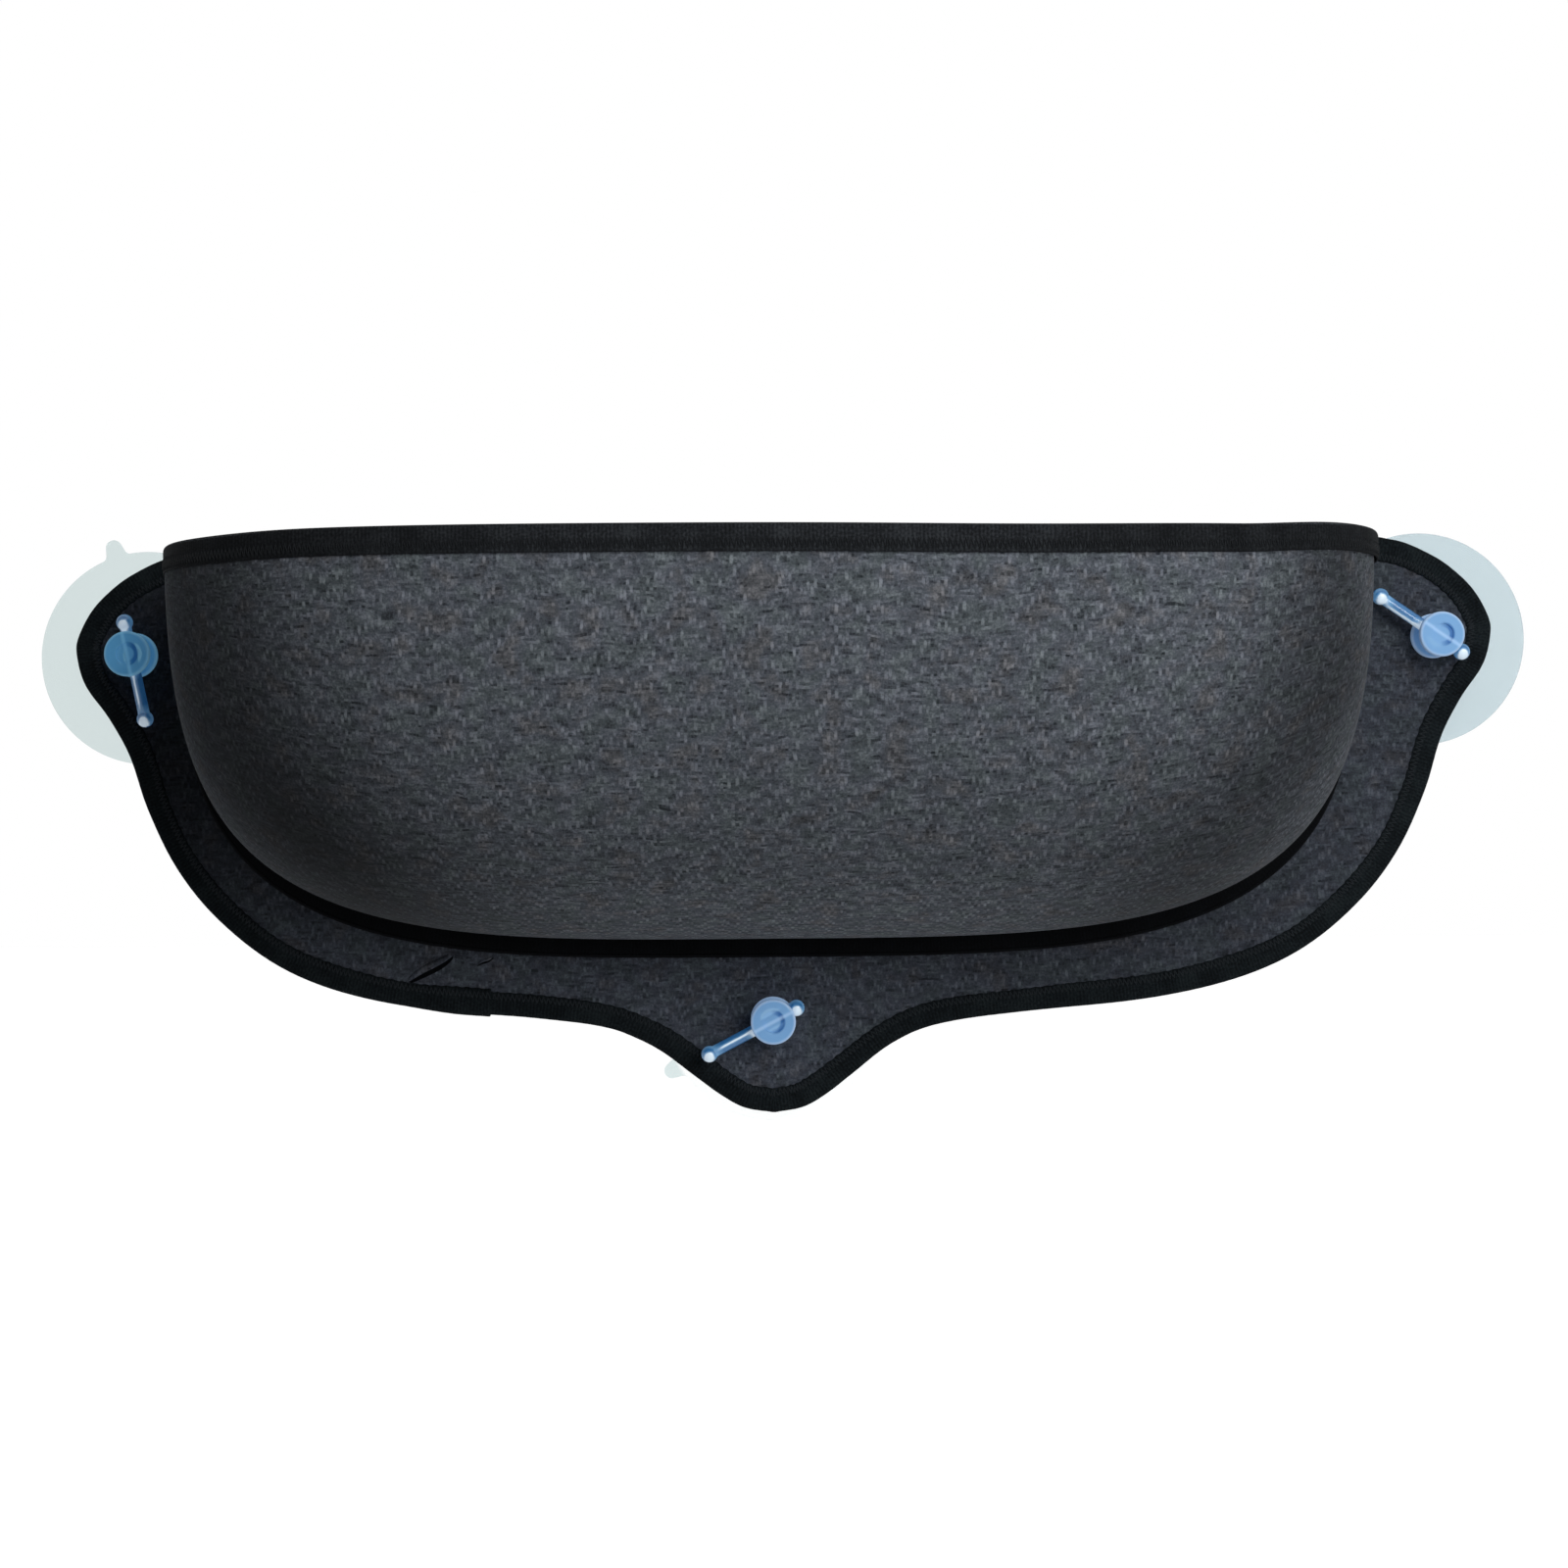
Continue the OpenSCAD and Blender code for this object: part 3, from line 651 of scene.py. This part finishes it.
def pod_point(turn, lift, depth):
    """Point of the pod's wall at a depth below its outer face. Turn runs from end to end
    and lift from rim to base, both in degrees. Each section is a superellipse, and the
    wave of the rim fades out down the wall."""
    s = np.sin(np.radians(turn))
    out, down = np.cos(np.radians(lift)), np.sin(np.radians(lift))
    x = (POD_HALF - depth) * s
    y = (POD_WALL - depth + (POD_DEPTH - POD_WALL) * superellipse(s, RIM_POWER)
         * np.clip(out, 0, 1) ** (2 / SIDE_POWER))
    drop = (POD_H - depth) * superellipse(s, BASE_POWER) * down ** (2 / SIDE_POWER)
    z = RIM_Z - drop + rim_wave(x) * (1 - down) ** 2
    return np.stack(np.broadcast_arrays(x, -flange_back - y, z), axis=-1)


def base_edge(turn, push):
    """Point of the pod's base outline in the panel's plane, pushed outwards."""
    s = np.sin(np.radians(turn))
    base = superellipse(s, BASE_POWER)
    normal = unit(np.stack([np.sign(s) * np.abs(s) ** (BASE_POWER - 1) / POD_HALF,
                            -base ** (BASE_POWER - 1) / POD_H], axis=-1))
    return np.stack([POD_HALF * s, RIM_Z - POD_H * base], axis=-1) + push * normal


def even_turns(count):
    """Turns from end to end that space the points of the base outline evenly."""
    turn = np.linspace(-90, 90, 4001)
    length = run_along(base_edge(turn, 0.0))
    return np.interp(np.linspace(0, length[-1], count), length, turn), length[-1]


turns = even_turns(STATIONS)[0]
lifts = 45 * (1 - np.cos(np.linspace(0, np.pi, ROWS)))


def painted_pod_light_and_shade(turn, lift):
    """Share of the cloth's grey with painted light and shade: round the bowl's upright corners
    painted shade darkens the cloth, and towards the middle of its foot painted light makes it
    paler.
    Each corner is a bell curve, whose place, depth and spread change with the lift."""
    drawn = 0.0
    for side, heights in PAINTED_CORNER_SHADE.items():
        centre, darker, spread = (np.interp(lift, CORNER_LIFTS, row) for row in zip(*heights))
        drawn = drawn + darker * np.exp(-((side * turn - centre) / spread) ** 2)
    foot = FOOT_PAINTED_LIGHT * ease(lift, *FOOT_LIFTS) * (1 - ease(np.abs(turn), *FOOT_TURNS))
    return (1 - drawn) * (1 + foot)


def pod_layer(name, outer, inner, material):
    """One layer of the pod's wall as a ring at every turn: flange, outer face down from
    the rim, over the rim, inner face and flange again. Cloth coordinates are lengths
    along the base outline and down the wall."""
    flange, faces = base_edge(turns, FLANGE_W), []
    for depth in (outer, inner):
        foot = np.insert(flange, 1, -flange_back - POD_WALL + depth, axis=1)
        wall = pod_point(turns[:, None], lifts[None, :], depth)
        faces.append(np.concatenate([wall, foot[:, None]], axis=1))
    ring = np.concatenate([faces[0][:, ::-1], faces[1]], axis=1)
    middle = len(turns) // 2
    down = run_along(np.vstack([ring[middle], ring[middle, :1]]))
    run = np.cumsum(np.linalg.norm(np.diff(ring, axis=0, prepend=ring[:1]), axis=2), axis=0)
    run = np.concatenate([run, run[:, :1]], axis=1) - np.append(run[middle], run[middle, 0])
    cloth = np.stack([run, np.broadcast_to(down, run.shape)], axis=2)
    piece = build_mesh(name, ring, cloth, [material])
    # Share of the grey with painted light and shade, kept as a point attribute.
    share = np.pad(painted_pod_light_and_shade(turns[:, None], lifts[None, :]), ((0, 0), (0, 1)), mode="edge")
    share = np.concatenate([share[:, ::-1], share], axis=1).astype(np.float32)
    piece.data.attributes.new("painted_light_and_shade", "FLOAT", "POINT").data.foreach_set("value", share.ravel())
    return piece


# The pod's cloth takes its painted light and shade from that attribute.
pod_cloth = mottled_weave("linen_look_polyester_pod", POD_GREYS, lambda tree, across:
                          add(tree, "Attribute", out="Fac", attribute_name="painted_light_and_shade"))

# The foam's cut cells give it a fine matt grain.
foam_material, foam_tree, foam_shader = new_material("black_eva_foam", Roughness=0.85)
foam_place = add(foam_tree, "TexCoord", out="Object")
cells = add(foam_tree, "TexVoronoi", {"Vector": foam_place, "Scale": MM / 0.8})
link(foam_tree, foam_shader,
     Base_Color=add(foam_tree, "ValToRGB", (cells,), stops=zip((0.0, 0.6), FOAM_BLACKS)),
     Normal=add(foam_tree, "Bump", {"Strength": 0.4, "Distance": 0.1 / MM, "Height": cells}))

cover = pod_layer("pod_cloth_outside", 0.0, CLOTH_T, pod_cloth)
foam = pod_layer("pod_foam", CLOTH_T + GLUE, POD_WALL - CLOTH_T - GLUE, foam_material)
lining = pod_layer("pod_cloth_inside", POD_WALL - CLOTH_T, POD_WALL, pod_cloth)
for piece, node, slot in ((cover, "pod_cover", "pod_fabric"), (foam, "pod_core", "moulded_foam"),
                          (lining, "pod_lining", "pod_fabric")):
    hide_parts(node)

# Tape over the pod's flange
# Black satin-faced tape that hides the flange and its edge. It lies in a black line
# round the foot of the pod and is sewn through the panel.
SEAM_IN = 0.3
SEAM_OUT = FLANGE_W + GLUE + TAPE_T
SEAM_ROUND, SEAM_CROWN = 1.6, 0.25
SEAM_POINTS = 420
SATIN_BLACKS = ("#030405", "#060709", "#0B0D10")

seam_turns, seam_length = even_turns(SEAM_POINTS)
seam_top = flange_back + POD_WALL + GLUE + TAPE_T
crown = np.linspace(0, 1, 9)
seam_front = np.stack([SEAM_IN + (SEAM_OUT - SEAM_ROUND - SEAM_IN) * crown,
                       seam_top - SEAM_CROWN * (2 * crown - 1) ** 4], axis=1)
turn = np.linspace(np.pi / 2, 0, 6)
seam_fold = ([SEAM_OUT - SEAM_ROUND, seam_top - SEAM_ROUND - SEAM_CROWN]
             + SEAM_ROUND * np.stack([np.cos(turn), np.sin(turn)], axis=1))
seam_section = np.vstack([[[SEAM_IN, seam_top - TAPE_T]], seam_front, seam_fold,
                          [[SEAM_OUT, flange_back], [SEAM_OUT - TAPE_T, flange_back],
                           [SEAM_OUT - TAPE_T, seam_top - TAPE_T]]])
edges = np.stack([base_edge(seam_turns, push) for push in seam_section[:, 0]], axis=1)
seam_height = np.broadcast_to(-seam_section[:, 1], edges.shape[:2])
seam_points = np.stack([edges[:, :, 0], seam_height, edges[:, :, 1]], axis=2)
seam_tape = tape("seam_tape", seam_points, np.linspace(0, seam_length, SEAM_POINTS),
                 np.arange(len(seam_section) + 1.0), ribbed_tape("black_satin_tape", SATIN_BLACKS))
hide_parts("seam_binding")

# Tape over the pod's rim
# Charcoal polyester tape folded over the cut rim of cloth and foam, held by a wide
# zigzag seam along its lower half on both faces. Round the corners it is darker, and
# round the right one it stands off.
RIM_TAPE_W = 11.0
RIM_GAP = 0.2
RIM_CROWN_H = 2.2
RIM_SQUARENESS = 2 / 3
RIM_POINTS = 520
RIM_ZIGZAG_W = 5.0
RIM_ZIGZAG_HEM = 1.0
RIM_BULGE, BULGE_START, BULGE_STOP = 1.3, 150, 110
RIM_CORNER_KEPT, CORNER_START, CORNER_STOP = 0.6, 300, 200
RIM_BLACKS = ("#141618", "#1F2124", "#2D3033")
RIM_THREAD_BLACKS = ("#0A0C0E", "#15181B")

# Middle of the rim's wall, from where the tape starts at the panel on the left to its end
# on the right, with the outward normal in plan.
rim_s = np.sin(np.radians(np.linspace(-90, 90, 8001)))
rim_y = -(flange_back + POD_WALL / 2 + (POD_DEPTH - POD_WALL) * superellipse(rim_s, RIM_POWER))
rim_plan = np.stack([(POD_HALF - POD_WALL / 2) * rim_s, rim_y], axis=1)
rim_plan = rim_plan[rim_y < -(flange_back + POD_WALL + TAPE_T + 0.5)]
rim_path, rim_length = spaced(rim_plan, RIM_POINTS)
rim_forth = unit(np.gradient(rim_path, axis=0))
rim_outward = np.stack([rim_forth[:, 1], -rim_forth[:, 0]], axis=1)

half_wall = POD_WALL / 2 + RIM_GAP + TAPE_T
turn = np.linspace(0, np.pi, 17)
cosine = np.cos(turn)
crown = np.stack([half_wall * np.sign(cosine) * np.abs(cosine) ** RIM_SQUARENESS,
                  (RIM_CROWN_H + GLUE + TAPE_T) * np.sin(turn) ** RIM_SQUARENESS - RIM_CROWN_H],
                 axis=1)
side_face = np.insert(np.linspace(-RIM_TAPE_W, -RIM_CROWN_H, 8)[:-1, None], 0, half_wall, axis=1)
outside = np.vstack([side_face, crown, (side_face * [-1, 1])[::-1]])
heading = unit(np.gradient(outside, axis=0))
inside = outside + TAPE_T * np.stack([-heading[:, 1], heading[:, 0]], axis=1)
rim_section = np.vstack([outside, inside[::-1]])


def on_rim(share, offset, height):
    """Point over the rim at a share of its length, offset outwards from the middle of the
    wall, and at a height over the rim; it follows the rim's wave."""
    x, y, out_x, out_y = read_at(share, *rim_path.T, *rim_outward.T)
    x = x + offset * out_x
    return np.stack([x, y + offset * out_y, RIM_Z + height + rim_wave(x)], axis=-1)


rim_share = np.linspace(0, 1, RIM_POINTS)
rim_run = rim_share * rim_length
rim_bulge = RIM_BULGE * ease(rim_run, rim_length - BULGE_START, rim_length - BULGE_STOP)
rim_points = on_rim(rim_share[:, None],
                    rim_section[:, 0] + rim_bulge[:, None] * (rim_section[:, 0] > 0),
                    rim_section[:, 1])
rim_fades = ((CORNER_START, CORNER_STOP, RIM_CORNER_KEPT),
             (rim_length - CORNER_START, rim_length - CORNER_STOP, RIM_CORNER_KEPT))
across = run_along(rim_section)
rim_piece = tape("rim_tape", rim_points, rim_run, np.append(across, across[-1]),
                 ribbed_tape("charcoal_polyester_tape", RIM_BLACKS, rim_fades))
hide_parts("rim_binding")

rim_thread = twisted_thread("jet_black_polyester_thread", RIM_THREAD_BLACKS)
share, across, lift = zigzag(rim_length, STROKE_PITCH, RIM_ZIGZAG_W)
out_x, out_y, bulge = read_at(share, *rim_outward.T, rim_bulge)
for name, side in (("rim_seam_outside", 1), ("rim_seam_inside", -1)):
    centres = on_rim(share, side * (half_wall + bulge * (side > 0) + lift),
                     RIM_ZIGZAG_HEM - RIM_TAPE_W + across)
    normals = side * np.stack([out_x, out_y, 0 * out_x], axis=1)
    thread_tube(name, centres, normals, rim_thread)

# Suction cups
# Soft clear PVC, each moulded in one piece: a cup with a thin lip and a pull tab, a hub
# that bears on the back of the panel, a neck through its hole and a spool-shaped knob.
CUP_R = 51.5
KNOB_R = 10.6
UPPER_CUPS_X = 150
# Half width of the painted highlight along the rod, in mm.
ROD_HIGHLIGHT_HALF_W = 1.3
# The knobs glow with painted light.
KNOB_PAINTED_GLOW = 0.16
# The left cup's lighter tone is painted light against the pod's shade.
RIGHT_CLEAR, LEFT_CLEAR_PAINTED_LIGHT = "#CFDDE2", "#D6E1E1"
# The bottom tab's darker tone is painted shade.
BOTTOM_CLEAR, BOTTOM_TAB_PAINTED_SHADE = "#FDFFFF", "#DCE8E8"
# The knob's edge tone is a painted highlight and its shade tone painted shade.
KNOB_BLUE, KNOB_SHADE, KNOB_EDGE_HIGHLIGHT = "#7CAAD6", "#4274B0", "#AFCBEA"
# The left knob's tint is painted shade of the pod.
LEFT_KNOB_PAINTED_SHADE = "#CCFDFF"
# Colour of the painted highlight along the rod.
ROD_PAINTED_HIGHLIGHT = "#ADD0F2"

# Clear PVC looks grey-green where it is thin, and sky blue where it is thick. The knobs
# glow with painted light, and a painted highlight runs across them along the pin.
cup_material, cup_tree, cup_shader = new_material(
    "clear_pvc_moulding", Roughness=0.08, IOR=1.15, Specular_IOR_Level=0.15)
cup_place = add(cup_tree, "TexCoord", out="Object")
cup_x, cup_y = add(cup_tree, "SeparateXYZ", (cup_place,), None).outputs[:2]

# Distances from the nearest cup's axis and from the nearest pin's axis, in mm
flat = add(cup_tree, "VectorMath MULTIPLY", (cup_place, (1, 0, 1)))
radius = chain(cup_tree, "MINIMUM", [
    add(cup_tree, "VectorMath DISTANCE", (flat, (place[0] / MM, 0, place[2] / MM)), "Value")
    for place in axes.values()])
radius = add(cup_tree, "Math MULTIPLY", (radius, MM))
pin_ways = by_side("slide", "axis")
rods = []
for side, place in axes.items():
    beside = (-pin_ways[side][2] * MM, 0, pin_ways[side][0] * MM)
    offset = add(cup_tree, "VectorMath DOT_PRODUCT", (cup_place, beside), "Value")
    offset = add(cup_tree, "Math SUBTRACT", (offset, np.dot(place, beside) / MM))
    rods.append(add(cup_tree, "Math ABSOLUTE", (offset,)))
rod_gap = chain(cup_tree, "MINIMUM", rods)

# Knobs: a painted highlight round the edge, painted shade on the right side of the dimple
# and a painted highlight along the rod
knob_share = add(cup_tree, "Math DIVIDE", (radius, KNOB_R))
knob_tone = add(cup_tree, "ValToRGB", (knob_share,),
                stops=((0.0, KNOB_BLUE), (0.86, KNOB_BLUE), (0.96, KNOB_EDGE_HIGHLIGHT)))
dimple_wall = add(cup_tree, "ValToRGB", (knob_share,),
                  stops=((0.28, "#000000"), (0.36, "#FFFFFF"), (0.50, "#FFFFFF"),
                         (0.57, "#000000")))
middle_x = add(cup_tree, "Math ADD", [
    add(cup_tree, "Math MULTIPLY", (add(cup_tree, "Math " + test, (cup_x, limit / MM)),
                                    axes[side][0] / MM))
    for side, test, limit in (("left", "LESS_THAN", -UPPER_CUPS_X),
                              ("right", "GREATER_THAN", UPPER_CUPS_X))])
to_right = add(cup_tree, "Math SUBTRACT", (cup_x, middle_x))
arc = add(cup_tree, "MapRange", (to_right, -1 / MM, 3 / MM))
shaded = add(cup_tree, "Math MULTIPLY", (arc, dimple_wall))
# Painted highlight along the rod where it crosses the knob.
rod_highlight = add(cup_tree, "MapRange", (rod_gap, ROD_HIGHLIGHT_HALF_W, 0.2 * ROD_HIGHLIGHT_HALF_W, 0.0, 0.75))
# The left side's mask also paints the left knob's shade and the left cup's light.
left_cup = add(cup_tree, "MapRange", (cup_x, -100 / MM, -200 / MM))
right_cup = add(cup_tree, "MapRange", (cup_x, 100 / MM, 200 / MM))
for share, tone, blend in ((shaded, KNOB_SHADE, "MIX"), (rod_highlight, ROD_PAINTED_HIGHLIGHT, "MIX"),
                           (left_cup, LEFT_KNOB_PAINTED_SHADE, "MULTIPLY")):
    knob_tone = add(cup_tree, "Mix", {0: share, 6: knob_tone, 7: colour(tone)}, 2,
                    data_type="RGBA", blend_type=blend)

# Cups: one PVC in a tone painted for the light at each cup: the left one lighter against
# the pod's shade, and the bottom one's tab darker with painted shade
on_tab = add(cup_tree, "MapRange", (radius, CUP_R - 0.5, CUP_R + 1.5))
disc_tone = colour(BOTTOM_CLEAR)
for share, tone in ((on_tab, BOTTOM_TAB_PAINTED_SHADE), (right_cup, RIGHT_CLEAR), (left_cup, LEFT_CLEAR_PAINTED_LIGHT)):
    disc_tone = add(cup_tree, "Mix", {0: share, 6: disc_tone, 7: colour(tone)}, 2,
                    data_type="RGBA")
in_front = add(cup_tree, "MapRange", (cup_y, -panel_back / MM, -(panel_front + 0.5) / MM))
tint = add(cup_tree, "Mix", {0: in_front, 6: disc_tone, 7: knob_tone}, 2, data_type="RGBA")
disc_clear = add(cup_tree, "MapRange", {0: right_cup, 3: 0.97, 4: 0.85})
flow = add(cup_tree, "TexNoise", {"Vector": cup_place, "Scale": MM / 14, "Detail": 2.0})
# The knobs' emission is painted glow.
link(cup_tree, cup_shader, Base_Color=tint, Emission_Color=tint,
     Emission_Strength=add(cup_tree, "Math MULTIPLY", (in_front, KNOB_PAINTED_GLOW)),
     Transmission_Weight=add(cup_tree, "Mix", {0: in_front, 2: disc_clear, 3: 0.15},
                             data_type="FLOAT"),
     Normal=add(cup_tree, "Bump", {"Strength": 0.15, "Distance": 0.3 / MM, "Height": flow}))
for side in axes:
    node = frame["nodes"][side + "_cup"]
    node.data.materials.clear()
    node.data.materials.append(cup_material)

# Cross pins
# Clear blue PVC rods with a ball moulded on each end, pushed through the knobs' waists.
# They glow a little with painted light, and a painted highlight lies in the lower half of a
# ball and in a line along a rod.
ROD_R = 2.75
BALL_R = 3.9
NECK_R = 1.2
# Place and size of the painted highlight on the balls, and its line on each rod.
HIGHLIGHT_SPOT_DOWN, HIGHLIGHT_SPOT_R = 0.27, 0.62
HIGHLIGHT_LINE = {"left": -0.25, "right": -0.8, "bottom": 0.1}
PIN_PAINTED_GLOW, HIGHLIGHT_GLOW = 0.12, 0.32
PIN_BLUES_TO_HIGHLIGHT = ("#3D7CB2", "#78B2DE", "#E4F4FD")

pin_material, pin_tree, pin_shader = new_material(
    "clear_blue_pvc_rod", Roughness=0.15, IOR=1.53, Transmission_Weight=0.3)
# The second cloth coordinate holds the painted highlight.
painted_highlight = add(pin_tree, "SeparateXYZ", (add(pin_tree, "UVMap", uv_map="cloth"),), 1)
pin_place = add(pin_tree, "TexCoord", out="Object")
pin_flow = add(pin_tree, "TexNoise", {"Vector": pin_place, "Scale": MM / 3, "Detail": 2.0})
wavering = add(pin_tree, "Math ADD", (painted_highlight, add(pin_tree, "Math MULTIPLY", (pin_flow, 0.25))))
pin_tone = add(pin_tree, "ValToRGB", (wavering,), stops=zip((0.25, 0.62, 0.95), PIN_BLUES_TO_HIGHLIGHT))
# The pins glow with painted light, more where the painted highlight lies.
link(pin_tree, pin_shader, Base_Color=pin_tone, Emission_Color=pin_tone,
     Emission_Strength=add(pin_tree, "MapRange", (wavering, 0.7, 1.0, PIN_PAINTED_GLOW, HIGHLIGHT_GLOW)),
     Normal=add(pin_tree, "Bump", {"Strength": 0.1, "Distance": 0.2 / MM, "Height": pin_flow}))


def pin_profile(span):
    """Half section of a pin as places along its axis and radii: a ball's arc from its
    pole to the neck, a small round into the rod, the rod, and the same mirrored."""
    join = np.sqrt((BALL_R + NECK_R) ** 2 - (ROD_R + NECK_R) ** 2)
    stop = np.arctan2(ROD_R + NECK_R, join)
    ball = np.pi - np.linspace(0, np.pi - stop, 17)
    arc = BALL_R * np.stack([np.cos(ball), np.sin(ball)], axis=1)
    turn = np.linspace(0, 1, 6)[1:] * (np.pi / 2 - stop) - (np.pi - stop)
    neck = [join, ROD_R + NECK_R] + NECK_R * np.stack([np.cos(turn), np.sin(turn)], axis=1)
    half = np.vstack([arc, neck]) - [span / 2, 0]
    rod = np.stack([np.linspace(half[-1, 0], -half[-1, 0], 9)[1:-1], np.full(7, ROD_R)], axis=1)
    return np.vstack([half, rod, (half * [-1, 1])[::-1]])


def painted_pin_highlight(profile, span, run, out, side):
    """Painted highlight at each point: on a ball in a spot below its middle and round its
    edge, as seen from the front, and on the rod in a line along it."""
    to_ball = profile[:, 0] - np.sign(profile[:, 0]) * span / 2
    x, y, z = np.moveaxis(to_ball[:, None, None] * run + profile[:, None, 1:] * out[None],
                          2, 0) / BALL_R
    spot = np.clip((HIGHLIGHT_SPOT_R - np.hypot(x, z + HIGHLIGHT_SPOT_DOWN)) / 0.35 + 0.5, 0, 1) * (y < 0)
    ball = (spot + 0.5 * np.clip((np.hypot(x, z) - 0.6) / 0.3, 0, 1)).clip(0.12, 1)
    turn = np.linspace(0, 2 * np.pi, len(out))
    line = np.exp(-((np.sin(turn) + HIGHLIGHT_LINE[side]) / 0.26) ** 2) * (np.cos(turn) > 0)
    return np.where((np.abs(to_ball) < BALL_R * 0.95)[:, None], ball, line[None, :])


for side, run in pin_ways.items():
    low, high = np.array(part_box(side + "_pin")) * MM
    span = np.linalg.norm((high - low)[[0, 2]] - 2 * BALL_R)
    profile = pin_profile(span)
    front = np.array([0.0, -1.0, 0.0])
    beside = np.cross(run, front)
    beside *= -np.sign(beside[2]) if abs(beside[2]) > 0.3 else -np.sign(beside[0])
    turn = np.linspace(0, 2 * np.pi, 33)[:, None]
    out = np.cos(turn) * front + np.sin(turn) * beside
    points = (low + high) / 2 + profile[:, None, :1] * run + profile[:, None, 1:] * out[None, :-1]
    highlight = painted_pin_highlight(profile, span, run, out, side)
    cloth = np.stack([np.broadcast_to(profile[:, :1], highlight.shape), highlight], axis=2)
    pin = build_mesh(side + "_pin_clear", points, cloth, [pin_material], "pin_" + side, weld=True)
    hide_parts(side + "_pin")

# Studio
# White all round. A big soft lamp stands to the right of the camera and another over it,
# two weak ones to the right fill in, and daylight comes from behind, as through a window.
FLOOR_Z = -330.0
FLOOR_REACH = 6.0
LAMP_SPREAD = 100
LAMPS = (("key", (520, -1250, 430), 600, 2.5), ("over_camera", (280, -1000, 880), 600, 1.7),
         ("right", (900, -900, 350), 500, 0.5), ("table_bounce", (500, -900, -300), 500, 0.6),
         ("window", (200, 1300, 1050), 700, 1.2))
LAMP_TARGET = (30, -150, 130)
WORLD_GLOW, FLOOR_GLOW = 0.02, 0.95
PLAIN_WHITE = (1, 1, 1, 1)

for name, place, size, power in LAMPS:
    lamp = bpy.data.objects.new(name, bpy.data.lights.new(name, "AREA"))
    lamp.data.size = size / MM
    lamp.data.energy = power
    lamp.data.spread = np.radians(LAMP_SPREAD)
    back = unit(np.subtract(place, LAMP_TARGET))
    level = unit(np.cross([0, 0, 1], back))
    stand(lamp, level, np.cross(back, level), back, place)


def shows_white(tree):
    """1 for the rays that see the white round the object: those of the camera, and those
    that clear and glossy surfaces send on."""
    path = add(tree, "LightPath", out=None).outputs
    clear = add(tree, "Math MAXIMUM", (path["Is Transmission Ray"], path["Is Glossy Ray"]))
    return add(tree, "Math MAXIMUM", (path["Is Camera Ray"], clear))


world = bpy.data.worlds.new("studio")
bpy.context.scene.world = world
world.use_nodes = True
world_tree = world.node_tree
world_tree.nodes.clear()
glow = add(world_tree, "Background", (PLAIN_WHITE, WORLD_GLOW))
white = add(world_tree, "Background", (PLAIN_WHITE, 1.0))
choice = add(world_tree, "MixShader", (shows_white(world_tree), glow, white))
add(world_tree, "OutputWorld", (choice,), None)

floor_mesh = bpy.data.meshes.new("floor")
floor_mesh.from_pydata([(x * FLOOR_REACH, y * FLOOR_REACH, FLOOR_Z / MM)
                        for x, y in ((-1, -1), (1, -1), (1, 1), (-1, 1))], [], [(0, 1, 2, 3)])
floor = bpy.data.objects.new("floor", floor_mesh)
bpy.context.scene.collection.objects.link(floor)
floor_material, floor_tree, floor_shader = new_material("white_paper", Roughness=0.9,
                                                        Base_Color=colour("#F4F4F4"))
paper = floor_shader.outputs[0]
lit_paper = add(floor_tree, "Emission", (PLAIN_WHITE, FLOOR_GLOW))
lit_paper = add(floor_tree, "AddShader", (paper, lit_paper))
link(floor_tree, floor_tree.nodes["Material Output"],
     Surface=add(floor_tree, "MixShader", (shows_white(floor_tree), paper, lit_paper)))
floor_mesh.materials.append(floor_material)

bpy.context.scene.view_settings.view_transform = "Standard"
bpy.context.view_layer.update()
